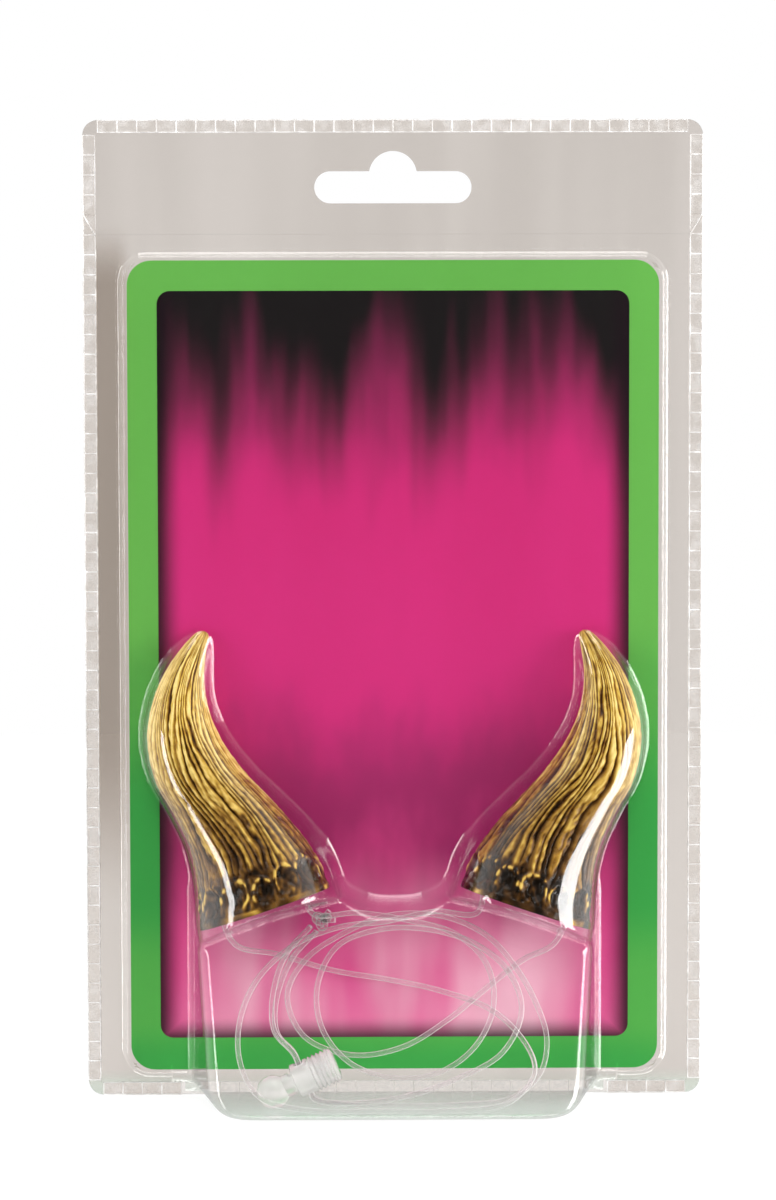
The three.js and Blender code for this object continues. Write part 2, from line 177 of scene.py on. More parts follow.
def ramp(tree, factor, stops, interpolation="LINEAR"):
    node = add_node(tree, "ShaderNodeValToRGB", {"Fac": factor})
    node.color_ramp.interpolation = interpolation
    elements = node.color_ramp.elements
    while len(elements) < len(stops):
        elements.new(0.5)
    for element, (place, colour) in zip(elements, stops):
        element.position = place
        element.color = colour
    return node.outputs["Color"]


def math_node(tree, operation, *values, clamp=False):
    inputs = dict(enumerate(values))
    return add_node(tree, "ShaderNodeMath", inputs, operation=operation, use_clamp=clamp).outputs[0]


def swayed(tree, level, noise_value, sway):
    """A level that a noise, which has 0.5 as its middle, moves up and down."""
    return math_node(tree, "MULTIPLY_ADD", math_node(tree, "SUBTRACT", noise_value, 0.5), sway, level)


def smooth_step(tree, value, low, high):
    inputs = {"Value": value, "From Min": low, "From Max": high}
    node = add_node(tree, "ShaderNodeMapRange", inputs, interpolation_type="SMOOTHSTEP")
    return node.outputs["Result"]


def blend_colours(tree, factor, first, second, blend_type="MIX"):
    inputs = {0: factor, 6: first, 7: second}
    return add_node(tree, "ShaderNodeMix", inputs, data_type="RGBA", blend_type=blend_type).outputs[2]


print("a mid grey as light:", round(paint(128, 128, 128)[0], 3))

# %% [markdown]
# Clear plastic sheet is too thin to bend what is seen through it. So it isn't made of glass: most
# of the light passes straight on, slightly tinted, and a share that grows towards the grazing
# angle is mirrored. A very weak bump gives the slow waves of a formed sheet. A strip along the
# left side can be darkened with painted shade, and the foot has a painted reflection, green and
# hazy. The weld is the same sheet, whitened by heat.

# %% Clear sheet finish
FACE_MIRROR, GRAZING_MIRROR, GRAZING_POWER = 0.045, 0.8, 4.0
WAVE_SCALE, STREAK_SCALE, STREAK_SPAN = 25, (55, 55, 7), (0.3, 0.7)
PAINTED_SHADE_LEFT, PAINTED_SHADE_FOOT, PAINTED_SHADE_HEAD = (-0.0525, -0.057), (0.035, 0.075), (0.18, 0.166)
PAINTED_SHADE_WARMTH = (1, 0.98, 0.96)
FOOT_REFLECTION_BAND, FOOT_REFLECTION_TINT = (0.0055, 0.001), (0.955, 0.985, 0.968, 1)
FOOT_REFLECTION_HAZE_COLOUR, FOOT_REFLECTION_HAZE_ROUGHNESS = (0.86, 0.92, 0.88, 1), 0.4
WELD_SCALE, WELD_SPAN = 420, (0.36, 0.72)
WELD_TINT, WELD_COLOUR, WELD_ROUGHNESS = (0.9, 0.882, 0.866, 1), (0.93, 0.925, 0.92, 1), 0.3


def clear_sheet_finish(name, tint, shade, roughness, wave_height, painted_side_shade=1.0, foot_reflection_haze=0.0):
    material, tree = new_finish(name)
    place = object_place(tree)
    across, up = axis_of(tree, place, "X"), axis_of(tree, place, "Z")
    normal = bumped(tree, noise_on(tree, place, WAVE_SCALE, 0.0), wave_height, 1.0)
    inputs = {"Blend": 0.5, "Normal": normal}
    facing = add_node(tree, "ShaderNodeLayerWeight", inputs).outputs["Facing"]
    grazing = math_node(tree, "POWER", facing, GRAZING_POWER)
    share = math_node(tree, "MULTIPLY_ADD", grazing, GRAZING_MIRROR, FACE_MIRROR, clamp=True)

    streaks = smooth_step(tree, noise_on(tree, place, STREAK_SCALE, 2.0), *STREAK_SPAN)
    colour = blend_colours(tree, streaks, shade, tint)
    # Painted shade: a strip along the left side, between a low and a high level, is darkened and warmed.
    painted_shade_strip = smooth_step(tree, across, *PAINTED_SHADE_LEFT)
    for span in (PAINTED_SHADE_FOOT, PAINTED_SHADE_HEAD):
        painted_shade_strip = math_node(tree, "MULTIPLY", painted_shade_strip, smooth_step(tree, up, *span))
    painted_shade_colour = (*(painted_side_shade * part for part in PAINTED_SHADE_WARMTH), 1)
    colour = blend_colours(tree, painted_shade_strip, colour, painted_shade_colour, "MULTIPLY")
    # Painted reflection: the foot is tinted green, like the green border mirrored in it.
    foot = smooth_step(tree, up, *FOOT_REFLECTION_BAND)
    colour = blend_colours(tree, foot, colour, FOOT_REFLECTION_TINT, "MULTIPLY")

    inputs = {"Roughness": roughness, "Normal": normal}
    mirror = add_node(tree, "ShaderNodeBsdfGlossy", inputs).outputs[0]
    sheet = mixed(tree, share, see_through(tree, colour), mirror)
    # A painted haze at the foot, pale green like the same reflection.
    painted_haze = surface(tree, {"Base Color": FOOT_REFLECTION_HAZE_COLOUR, "Roughness": FOOT_REFLECTION_HAZE_ROUGHNESS})
    show(tree, mixed(tree, math_node(tree, "MULTIPLY", foot, foot_reflection_haze), sheet, painted_haze))
    return material


def weld_finish(name, least, most):
    """The pressed lines and pads of the weld, white in patches, from a least share to a most."""
    material, tree = new_finish(name)
    patches = smooth_step(tree, noise_on(tree, object_place(tree), WELD_SCALE), *WELD_SPAN)
    share = math_node(tree, "MULTIPLY_ADD", patches, most - least, least)
    white = surface(tree, {"Base Color": WELD_COLOUR, "Roughness": WELD_ROUGHNESS})
    show(tree, mixed(tree, share, see_through(tree, WELD_TINT), white))
    return material


weld_white = weld_finish("weld_white", 0.35, 0.9)
weld_pad = weld_finish("weld_pad", 0.0, 0.2)

# Light passes both faces of a sheet: about 0.86 of it gets through the front sheet and about 0.67
# through the back sheet.
# The front sheet also gets the painted green haze at its foot.
front_clear = clear_sheet_finish(
    "front_clear", (0.98, 0.973, 0.967, 1), (0.97, 0.962, 0.954, 1), 0.02, 0.00003, foot_reflection_haze=0.16
)
# The back sheet gets the painted shade in its left strip.
back_clear = clear_sheet_finish(
    "back_clear", (0.9, 0.872, 0.85, 1), (0.862, 0.834, 0.812, 1), 0.05, 0.00004, painted_side_shade=0.76
)
print("sheet finishes", [finish.name for finish in (front_clear, back_clear, weld_white, weld_pad)])

# %% [markdown]
# The elastic cord is one clear thread, tied into a loop: from the knot through the lock, round,
# up through each horn and back through the lock to the knot. The route is the CAD's own, and the
# same centripetal Catmull-Rom curve is written as Bezier handles, so the cord lies exactly where
# the CAD solid lies. Blender adds a curve point's radius to the piece's box, so each point has a
# radius of a millimetre and the bevel is given in millimetres.

# %% Elastic cord route
CORD_DIAMETER = 1.1
CORD_ROUTE = [
    (-16, 34.5, 5.5), (-21, 29.4, 8.8), (-24.2, 21.5, 13.2), (-24, 15.4, 17.4), (-20.7, 12.1, 20.2),
    (-19.4, 9.2, 20.2), (-17.4, 4.8, 20.2), (-16.5, 2.8, 20.4), (-12.2, 1.7, 21.2), (1, 1.4, 22),
    (13.3, 1.5, 22), (23.4, 2.6, 20.8), (29.2, 7, 18.4), (30.8, 13.6, 15.2), (28.8, 20.4, 12.2),
    (24.8, 27.4, 9.6), (18.8, 33.8, 7.6), (10, 37.6, 6.4), (-1, 37.8, 5.8), (-11, 33.8, 5.8),
    (-18.4, 28.6, 6.2), (-22, 21.6, 7.6), (-18.6, 13.6, 10.2), (-9, 9.9, 11.4), (1.6, 11.4, 10.8),
    (11, 16.8, 9), (18.6, 22.8, 7.6), (26.2, 28.6, 6.8), (32.7, 32.5, 9.2), (35.2, 40, 9.2),
    (30.4, 44.4, 10.2), (24, 46.4, 10.2), (19.1, 45.4, 9.2), (16.8, 38.7, 9.2), (8.4, 39.1, 9.4),
    (-2, 37.2, 10.6), (-11, 36.4, 12), (-20.6, 32.8, 13.2), (-28, 26.2, 15.6), (-31.6, 18, 18.6),
    (-31.4, 10, 22.2), (-27.4, 3.8, 25.8), (-18.6, 1.6, 27.4), (-4, 1.4, 28), (11, 1.4, 28),
    (22.4, 2.6, 26.4), (27.8, 7.4, 22.4), (26.6, 12.4, 13.6), (19.9, 18.2, 6.4), (9.3, 22, 4.8),
    (-1.2, 24.2, 4), (-12.4, 26, 3.4), (-24, 29.6, 4.4), (-32.7, 32.5, 9.2), (-35.2, 40, 9.2),
    (-30.4, 44.4, 10.2), (-24, 46.4, 10.2), (-19.1, 45.4, 9.2), (-16.8, 38.7, 9.2), (-7.4, 38.6, 7.6),
    (3, 37, 7.8), (12, 34.6, 9.2), (18.4, 29, 11), (20.1, 21, 13.6), (16.6, 13, 16.6),
    (9, 7.6, 18.8), (-1, 6.6, 19.2), (-9.6, 9.6, 17.6), (-15, 16.2, 14.8), (-15.8, 24.4, 12),
    (-11.8, 32, 9.6), (-3, 35.4, 9.2), (7, 35.6, 11), (16.4, 32.8, 12.6), (23.2, 27.2, 14.4),
    (25.6, 19.8, 17), (21.6, 11.8, 20.2), (12.6, 7, 22.6), (3.2, 4, 24.2), (-7.4, 2.4, 24.4),
    (-16.5, 2.8, 22), (-17.4, 4.8, 21.8), (-19.4, 9.2, 21.8), (-20.7, 12.1, 21.8), (-24.4, 15.9, 19.2),
    (-25, 22.2, 15.2), (-22.4, 30.2, 10.4), (-17.2, 35.6, 6),
]


def thread_spline(curve, route, closed=False):
    points = [stood(p) for p in route]
    count = len(points)
    spline = curve.splines.new("BEZIER")
    spline.bezier_points.add(count - 1)
    spline.use_cyclic_u = closed
    for i, knot_point in enumerate(spline.bezier_points):
        here = points[i]
        before = points[i - 1] if i or closed else here * 2 - points[1]
        after = points[(i + 1) % count] if i < count - 1 or closed else here * 2 - points[-2]
        back = math.sqrt((here - before).length)
        ahead = math.sqrt((after - here).length)
        slope = (here - before) / back - (after - before) / (back + ahead) + (after - here) / ahead
        knot_point.co = here
        knot_point.radius = MM
        knot_point.handle_left_type = "FREE"
        knot_point.handle_right_type = "FREE"
        knot_point.handle_left = here - slope * back / 3
        knot_point.handle_right = here + slope * ahead / 3


def thread(name, diameter, steps=8):
    curve = bpy.data.curves.new(name, "CURVE")
    curve.dimensions = "3D"
    curve.bevel_depth = diameter / 2
    curve.bevel_resolution = 4
    curve.resolution_u = steps
    curve.use_fill_caps = True
    piece = bpy.data.objects.new(name, curve)
    scene.collection.objects.link(piece)
    return piece


cord = thread("elastic_cord_thread", CORD_DIAMETER)
thread_spline(cord.data, CORD_ROUTE)
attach(cord, "pack")
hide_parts("elastic_cord")
print("cord points", len(CORD_ROUTE))

# %% [markdown]
# The two ends of the cord are tied in an overhand knot. A trefoil is that knot pulled tight, and
# two short tails stand out of it.

# %% Cord knot
KNOT_CENTRE = Vector((-14.9, 36.6, 4.4))
KNOT_SCALE, KNOT_DEPTH = 0.56, 1.3
KNOT_POINTS = 18
KNOT_TAILS, TAIL_LENGTH = ((0.9, 1.2, 0.3), (1.6, 0.1, 0.6)), 1.7

knot_route = []
for i in range(KNOT_POINTS):
    turn = 2 * math.pi * i / KNOT_POINTS
    lobe = Vector((
        math.sin(turn) + 2 * math.sin(2 * turn),
        math.cos(turn) - 2 * math.cos(2 * turn),
        -KNOT_DEPTH * math.sin(3 * turn),
    ))
    knot_route.append(KNOT_CENTRE + lobe * KNOT_SCALE)
knot = thread("cord_knot_loops", CORD_DIAMETER)
thread_spline(knot.data, knot_route, closed=True)
for tail in map(Vector, KNOT_TAILS):
    thread_spline(knot.data, [KNOT_CENTRE, KNOT_CENTRE + tail, KNOT_CENTRE + tail * TAIL_LENGTH])
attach(knot, "pack")
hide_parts("cord_knot")
print("knot centre", [round(c, 4) for c in stood(KNOT_CENTRE)])

# %% [markdown]
# Meshes are shaped as a grid of faces that is rolled into place: every vertex of a flat grid has
# two numbers from 0 to 1, and a rule says where that vertex goes. Doubled vertices along the
# seam and at the poles are then merged. A skin over rings of points is the same grid, with the
# middle of the first and last ring as its poles. Where a modifier does the work, the mesh goes
# through a passing object, which is removed again.

# %% Mesh helpers
MERGE_DISTANCE = 1e-5


def closed_up(bm):
    bmesh.ops.remove_doubles(bm, verts=bm.verts, dist=MERGE_DISTANCE)
    bmesh.ops.recalc_face_normals(bm, faces=bm.faces)


def turned_to(bm, facing):
    """Turns an open sheet over if most of it faces the other way, forward being 1."""
    if sum(face.normal.z for face in bm.faces) * facing < 0:
        bmesh.ops.reverse_faces(bm, faces=bm.faces)


def rolled_grid(around, along, place):
    bm = bmesh.new()
    bmesh.ops.create_grid(bm, x_segments=around, y_segments=along, size=0.5)
    for vert in bm.verts:
        vert.co = place(vert.co.x + 0.5, vert.co.y + 0.5)
    closed_up(bm)
    return bm


def skin(rings):
    around, along = len(rings[0]), len(rings) + 1
    poles = [sum(map(Vector, ring), Vector()) / around for ring in (rings[0], rings[-1])]

    def place(u, v):
        level = round(v * along)
        if level in (0, along):
            return poles[level == along]
        return Vector(rings[level - 1][round(u * around) % around])

    return rolled_grid(around, along, place)


def join(meshes):
    joined = bmesh.new()
    for bm in meshes:
        passing = bpy.data.meshes.new("passing")
        bm.to_mesh(passing)
        joined.from_mesh(passing)
        bpy.data.meshes.remove(passing)
        bm.free()
    return joined


def passing_object(name, bm):
    mesh = bpy.data.meshes.new(name)
    bm.to_mesh(mesh)
    bm.free()
    piece = bpy.data.objects.new(name, mesh)
    scene.collection.objects.link(piece)
    return piece


def after_modifiers(piece, *helpers):
    """The piece's mesh after its modifiers. The piece and its helpers are removed."""
    evaluated = piece.evaluated_get(bpy.context.evaluated_depsgraph_get())
    result = bmesh.new()
    result.from_mesh(evaluated.to_mesh())
    evaluated.to_mesh_clear()
    for spent in (piece, *helpers):
        mesh = spent.data
        bpy.data.objects.remove(spent)
        bpy.data.meshes.remove(mesh)
    return result


def walled(piece, thickness, rim=True):
    """Gives a sheet its thickness, behind the face that is modelled."""
    modifier = piece.modifiers.new("wall", "SOLIDIFY")
    modifier.thickness = thickness * MM
    modifier.offset = -1
    modifier.use_rim = rim
    return modifier


def finished(name, bm, finishes, body, nodes=(), smooth=True):
    bmesh.ops.transform(bm, matrix=STAND, verts=bm.verts)
    mesh = bpy.data.meshes.new(name)
    bm.to_mesh(mesh)
    bm.free()
    for finish in finishes:
        mesh.materials.append(finish)
    mesh.polygons.foreach_set("use_smooth", [smooth] * len(mesh.polygons))
    piece = bpy.data.objects.new(name, mesh)
    scene.collection.objects.link(piece)
    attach(piece, body)
    if nodes:
        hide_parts(*nodes)
    print(name, len(mesh.polygons), "faces")
    return piece


def clamp01(value):
    return min(1.0, max(0.0, value))


def mix(first, second, share):
    return first + (second - first) * share


def ease(value, low, high):
    share = clamp01((value - low) / (high - low))
    return share * share * (3 - 2 * share)


# %% [markdown]
# The horns follow two edges seen from the front, the outer and the inner. A rung joins the edges
# at the same share of their lengths, and the horn's section stands on that rung.

# %% Horn rungs
HORN_OUTER_EDGE = [
    (39.8, 36), (39.9, 43), (41.4, 51.5), (45, 59.5), (48.6, 66),
    (50.3, 74), (49.4, 81.5), (46.8, 88), (43.1, 93.2), (39.9, 96.4),
]
HORN_INNER_EDGE = [
    (13, 45), (16.3, 51.6), (20.6, 57.4), (25.8, 63), (31.2, 68.8),
    (35.2, 74.5), (37.8, 80.5), (38.7, 86.5), (38.2, 92), (37.5, 95.8),
]
HORN_DEPTH_RATIO = 0.9
HORN_REST_Z = 1.5
HORN_BASE_TILT, TILT_END = math.tan(math.radians(5)), 0.6
EDGE_STEPS, EVEN_PLACES = 40, 401


def even_edge(points):
    """A smooth edge through the points, as places an even step apart, and its length."""
    points = np.array(points, float)
    p = np.vstack([2 * points[0] - points[1], points, 2 * points[-1] - points[-2]])
    places = []
    for i in range(1, len(p) - 2):
        a, b, c = (math.sqrt(np.linalg.norm(p[j + 1] - p[j])) for j in (i - 1, i, i + 1))
        start = b * ((p[i] - p[i - 1]) / a - (p[i + 1] - p[i - 1]) / (a + b) + (p[i + 1] - p[i]) / b)
        end = b * ((p[i + 1] - p[i]) / b - (p[i + 2] - p[i]) / (b + c) + (p[i + 2] - p[i + 1]) / c)
        for t in np.linspace(0, 1, EDGE_STEPS, endpoint=False):
            places.append(
                p[i] * (2 * t**3 - 3 * t**2 + 1) + start * (t**3 - 2 * t**2 + t)
                + p[i + 1] * (3 * t**2 - 2 * t**3) + end * (t**3 - t**2)
            )
    places = np.array(places + [p[-2]])
    run = np.concatenate([[0], np.cumsum(np.linalg.norm(np.diff(places, axis=0), axis=1))])
    even = np.linspace(0, run[-1], EVEN_PLACES)
    return np.column_stack([np.interp(even, run, places[:, k]) for k in (0, 1)]), run[-1]


outer_edge, outer_length = even_edge(HORN_OUTER_EDGE)
inner_edge, inner_length = even_edge(HORN_INNER_EDGE)
print("horn edges", round(outer_length, 1), round(inner_length, 1), "mm")


def edge_point(edge, u):
    place = clamp01(u) * (len(edge) - 1)
    low = min(int(place), len(edge) - 2)
    x, y = edge[low] + (edge[low + 1] - edge[low]) * (place - low)
    return Vector((x, y, 0))


class Rung:
    def __init__(self, u):
        outer, inner = edge_point(outer_edge, u), edge_point(inner_edge, u)
        self.middle = (outer + inner) / 2
        self.half = (outer - inner).length / 2
        self.out = (outer - inner).normalized()
        self.along = Vector((-self.out.y, self.out.x, 0))
        self.depth = self.half * HORN_DEPTH_RATIO
        self.z = HORN_REST_Z + self.depth
        self.tilt = HORN_BASE_TILT * max(0, 1 - u / TILT_END)

    def point(self, across, z, shift, side):
        place = self.middle + self.out * across + self.along * (shift + (z - self.z) * self.tilt)
        return Vector((place.x * side, place.y, z))


# %% [markdown]
# The front shell is one formed sheet: a shallow tray over the card, an arched pocket over each
# horn, and a wedge pocket for the cord, whose underside is the foot of the pack. Forming rounds
# every edge. So the forms are made as separate closed bodies, joined by a voxel remesh and
# smoothed, which gives soft fillets where they run into each other. The tray and the flat part
# round it come first.

# %% Tray and flange forms
FLANGE_TOP = 1.1
BODY_BACK = -5
TRAY_HALF = 56.6
TRAY_BOTTOM, TRAY_TOP = 3.2, 174
TRAY_SLOPE, TRAY_HEIGHT, TRAY_CORNER = 1.6, 4, 6.5
FLANGE_FORM_HALF, FLANGE_FORM_BOTTOM, FLANGE_FORM_TOP = 64, 0.2, 182


def rounded_outline(half, bottom, top, radius, z, steps=16):
    ring = []
    corners = ((1, bottom + radius), (1, top - radius), (-1, top - radius), (-1, bottom + radius))
    for quarter, (side, y) in enumerate(corners):
        for i in range(steps + 1):
            turn = (quarter - 1 + i / steps) * math.pi / 2
            x = side * (half - radius) + radius * math.cos(turn)
            ring.append(Vector((x, y + radius * math.sin(turn), z)))
    return ring


def tray_outline(inset, z, corner=None):
    """The tray's outline, moved inwards by an inset, with its own corners or others."""
    radius = TRAY_CORNER - inset if corner is None else corner
    return rounded_outline(TRAY_HALF - inset, TRAY_BOTTOM + inset, TRAY_TOP - inset, radius, z)


def tray_form():
    wall = [(0, BODY_BACK), (0, FLANGE_TOP), (TRAY_SLOPE, TRAY_HEIGHT)]
    return skin([tray_outline(inset, z) for inset, z in wall])


def flange_form():
    left, right = -FLANGE_FORM_HALF, FLANGE_FORM_HALF
    low, high = FLANGE_FORM_BOTTOM, FLANGE_FORM_TOP
    ring = [(left, low), (right, low), (right, high), (left, high)]
    return skin([[(x, y, z) for x, y in ring] for z in (BODY_BACK, FLANGE_TOP)])


forms = [tray_form(), flange_form()]
print("tray and flange", [len(form.faces) for form in forms], "faces")

# %% [markdown]
# The wedge pocket is a stack of level rings. Its front slants back from the foot to a crest, which
# dips in a smile between the horns, and behind the crest it falls to the tray.

# %% Wedge pocket form
POCKET_HALF, POCKET_DRAFT, DRAFT_START_Z = 42, 0.17, 3
POCKET_SHOULDER_Y, POCKET_SHOULDER_Z, POCKET_TOP_Y = 41.5, 12.4, 47.8
POCKET_CORNER, POCKET_EDGE, POCKET_EDGE_SHARE = 6, 4, 0.6
POCKET_LIP, LIP_ROUNDING = 1.5, 0.5
POCKET_FALL, POCKET_SMILE, SMILE_SPAN = 5, 4.3, (3, 14)
POCKET_SINK, FORM_FOOT_Z = 1, 0.7
EDGE_POINTS, FRONT_POINTS, CORNER_LEVELS = 17, 45, 14
FRONT_LEVELS, CREST_START_Y, CREST_LEVELS = (16, 28), 33, 28


def crest(x):
    return POCKET_TOP_Y - POCKET_FALL - POCKET_SMILE * (1 - ease(abs(x), *SMILE_SPAN))


def pocket_front(x, y):
    """How far forward the wedge is at a height."""
    rise = max(0, y - POCKET_LIP) / (POCKET_SHOULDER_Y - POCKET_LIP)
    slant = mix(PACK_DEPTH, POCKET_SHOULDER_Z, rise)
    left = 1 - clamp01((y - crest(x)) / POCKET_FALL)
    lip = max(0, POCKET_LIP - y)
    return mix(TRAY_HEIGHT - POCKET_SINK, slant, left * left) - lip * lip * LIP_ROUNDING


def pocket_ring(y):
    rise = max(0, POCKET_CORNER - y)
    corner = POCKET_CORNER - math.sqrt(POCKET_CORNER**2 - rise**2)
    side_front = pocket_front(POCKET_HALF, y)
    edge = min(POCKET_EDGE, (side_front - FORM_FOOT_Z) * POCKET_EDGE_SHARE)

    def half_at(z):
        return POCKET_HALF - (z - DRAFT_START_Z) * POCKET_DRAFT - corner

    face_half = half_at(side_front - edge) - edge
    right = [Vector((half_at(BODY_BACK), y, BODY_BACK))]
    for turn in np.linspace(0, math.pi / 2, EDGE_POINTS):
        x, z = face_half + edge * math.cos(turn), side_front - edge + edge * math.sin(turn)
        right.append(Vector((x, y, z)))
    for share in np.linspace(0, 1, FRONT_POINTS)[1:-1]:
        x = face_half * (1 - share)
        right.append(Vector((x, y, pocket_front(x, y))))
    left = [Vector((-p.x, p.y, p.z)) for p in reversed(right)]
    return right + left


def pocket_form():
    corner = POCKET_CORNER * (1 - np.cos(np.linspace(0, math.pi / 2, CORNER_LEVELS)))
    levels = [*corner, *FRONT_LEVELS, *np.linspace(CREST_START_Y, POCKET_TOP_Y, CREST_LEVELS)]
    return skin([pocket_ring(float(y)) for y in levels])


forms.append(pocket_form())
print("wedge", len(forms[-1].faces), "faces, crest from", crest(0), "to", crest(POCKET_HALF), "mm")

# %% [markdown]
# Each horn pocket is a row of arches on the horn's own rungs, a little wider than the horn. An
# arch ends in a flare on each side, and the lowest arch is tilted to a ledge under the horn's base.

# %% Horn pocket forms
BUBBLE_SPREAD, BUBBLE_OUTER_FLARE, BUBBLE_INNER_FLARE = 1.1, 0.2, 7.9
FLARE_POWER, FLARE_POINTS, FLARE_SPAN = 3.0, 15, (-0.09, 0.24)
LEDGE_DROP, LEDGE_SLOPE = 1.0, 0.17
ARCH_STEPS, ARCH_COUNT, FIRST_ARCH, TIP_SHRINK = 60, 90, 0.04, 0.6


def flare(rung, start, reach, shift, side):
    """The foot of a pocket wall: steep beside the horn, then running out flat over the card."""
    points = []
    for share in np.linspace(0, 1, FLARE_POINTS)[1:]:
        z = mix(FORM_FOOT_Z, rung.z, (1 - share) ** FLARE_POWER)
        points.append(rung.point(start + reach * share, z, shift, side))
    points.append(rung.point(start + reach, BODY_BACK, shift, side))
    return points


def bubble_ring(u, side, shift, shrink=1, ledge=0):
    rung = Rung(u)
    half = (rung.half + BUBBLE_SPREAD) * shrink
    height = (rung.depth + BUBBLE_SPREAD) * shrink
    inner = BUBBLE_OUTER_FLARE + BUBBLE_INNER_FLARE * (1 - u) * ease(u, *FLARE_SPAN)
    arch = []
    for i in range(ARCH_STEPS + 1):
        turn = i / ARCH_STEPS * math.pi
        z = rung.z + height * math.sin(turn)
        drop = ledge * (rung.z + height - z)
        arch.append(rung.point(half * math.cos(turn), z, shift - drop, side))
    foot = shift - ledge * height
    outside = flare(rung, half, BUBBLE_OUTER_FLARE, foot, side)
    inside = flare(rung, -half, -inner, foot, side)
    return outside[::-1] + arch + inside


def bubble_form(side):
    rings = [bubble_ring(0, side, -LEDGE_DROP, ledge=LEDGE_SLOPE)]
    rings += [bubble_ring(u, side, 0) for u in np.linspace(FIRST_ARCH, 1, ARCH_COUNT)]
    rings.append(bubble_ring(1, side, BUBBLE_SPREAD, TIP_SHRINK))
    return skin(rings)


forms += [bubble_form(1), bubble_form(-1)]
print("horn pockets", [len(form.faces) for form in forms[-2:]], "faces")

# %% [markdown]
# The remesh joins the forms. The valley between the horns is smoothed most, and the raised parts
# more than the flat ones, but the wedge's crest and the ledges under the horns stay sharper.

# %% Joined forms
VOXEL = 0.63
SMOOTHING, RAISED_SMOOTHING, VALLEY_SMOOTHING = 4, 8, 36
RAISED_Z = 5.5
VALLEY_HALF, VALLEY_TOP, VALLEY_BACK_Z = 16, 60, 1.5
CREST_HALF, CREST_BAND, LEDGE_BAND = 15, 1.5, (-4, 0.6)
base = Rung(0)


def remeshed(bm, voxel):
    piece = passing_object("forms", bm)
    modifier = piece.modifiers.new("remesh", "REMESH")
    modifier.mode = "VOXEL"
    modifier.voxel_size = voxel
    return after_modifiers(piece)


def in_valley(vert):
    x, y, z = vert.co
    return abs(x) < VALLEY_HALF and crest(x) + CREST_BAND < y < VALLEY_TOP and z > VALLEY_BACK_Z


def on_crease(vert):
    """Whether a point is on the wedge's crest or on the ledge under a horn's base."""
    place = Vector((abs(vert.co.x), vert.co.y, 0))
    on_crest = place.x < CREST_HALF and abs(place.y - crest(place.x)) < CREST_BAND
    return on_crest or LEDGE_BAND[0] < (place - base.middle).dot(base.along) < LEDGE_BAND[1]


shell = remeshed(join(forms), VOXEL)
valley = [v for v in shell.verts if in_valley(v)]
raised = [v for v in shell.verts if v.co.z > RAISED_Z and not on_crease(v)]
all_axes = {"use_axis_x": True, "use_axis_y": True, "use_axis_z": True}
for verts, rounds in ((valley, VALLEY_SMOOTHING), (raised, RAISED_SMOOTHING), (shell.verts, SMOOTHING)):
    for _ in range(rounds):
        bmesh.ops.smooth_vert(shell, verts=verts, factor=0.5, **all_axes)
print("joined forms", len(shell.faces), "faces")

# %% [markdown]
# A voxel grid can't keep the tray's narrow wall crisp. So the wall is a strip of its own, rolled
# from a profile with a shallow groove at its foot, and it has a gap where the wedge breaks through
# the lower side. The remeshed skin ends where the strip begins.

# %% Tray wall
TRAY_FILLET, TRAY_FLAT, TRAY_SEAM = 0.5, 0.15, 3.2
FOOT_GROOVE = 0.3
SHARP_CORNER = 0.01
SKIRT_HALF, SKIRT_TOP = 60.5, 176.8
WELD_WIDTH, NOTCH_HALF = 2.5, 44
GAP_HALF, GAP_TOP = 46, 9


def bent(start, corner, end, steps=6):
    """A rounded corner between two points of a profile."""
    for t in np.linspace(0, 1, steps):
        shares = ((1 - t) ** 2, 2 * t * (1 - t), t * t)
        yield tuple(sum(s * p for s, p in zip(shares, parts)) for parts in zip(start, corner, end))


def cut(bm, faces, place, away, clear=True):
    """Cuts faces along a plane, and takes away what lies past it if asked."""
    edges = dict.fromkeys(e for f in faces for e in f.edges)
    verts = dict.fromkeys(v for f in faces for v in f.verts)
    geometry = [*verts, *edges, *faces]
    bmesh.ops.bisect_plane(
        bm, geom=geometry, dist=1e-4, plane_co=place, plane_no=away, clear_outer=clear
    )


def score_gap(bm):
    """Cuts along both sides of the gap in the tray's lower wall, and takes nothing away."""
    for x in (-GAP_HALF, GAP_HALF):
        faces = [f for f in bm.faces if f.calc_center_median().y < GAP_TOP]
        cut(bm, faces, (x, 0, 0), (1, 0, 0), clear=False)


def in_gap(face):
    middle = face.calc_center_median()
    return abs(middle.x) < GAP_HALF and middle.y < GAP_TOP


def wall_profile():
    """Pairs of inset and height, from the flange over the groove and the slope to the tray."""
    height = TRAY_HEIGHT - FLANGE_TOP
    share = TRAY_FILLET / math.hypot(TRAY_SLOPE, height)
    across, up = TRAY_SLOPE * share, height * share
    foot, top = (0, FLANGE_TOP), (TRAY_SLOPE, TRAY_HEIGHT)
    return [
        (-TRAY_FILLET - TRAY_FLAT, FLANGE_TOP),
        *bent((-TRAY_FILLET, FLANGE_TOP), foot, (across, FLANGE_TOP - FOOT_GROOVE)),
        *bent((top[0] - across, top[1] - up), top, (top[0] + TRAY_FILLET, TRAY_HEIGHT)),
        (TRAY_SLOPE + TRAY_FILLET + TRAY_FLAT, TRAY_HEIGHT),
    ]


def tray_wall():
    rings = [rounded_outline(SKIRT_HALF, WELD_WIDTH, SKIRT_TOP, SHARP_CORNER, FLANGE_TOP)]
    rings += [tray_outline(inset, z) for inset, z in wall_profile()]
    rings.append(tray_outline(TRAY_SEAM, TRAY_HEIGHT, SHARP_CORNER))
    around, along = len(rings[0]), len(rings) - 1
    bm = rolled_grid(around, along, lambda u, v: rings[round(v * along)][round(u * around) % around])
    turned_to(bm, 1)
    score_gap(bm)
    bmesh.ops.delete(bm, geom=[f for f in bm.faces if in_gap(f)], context="FACES")
    return bm


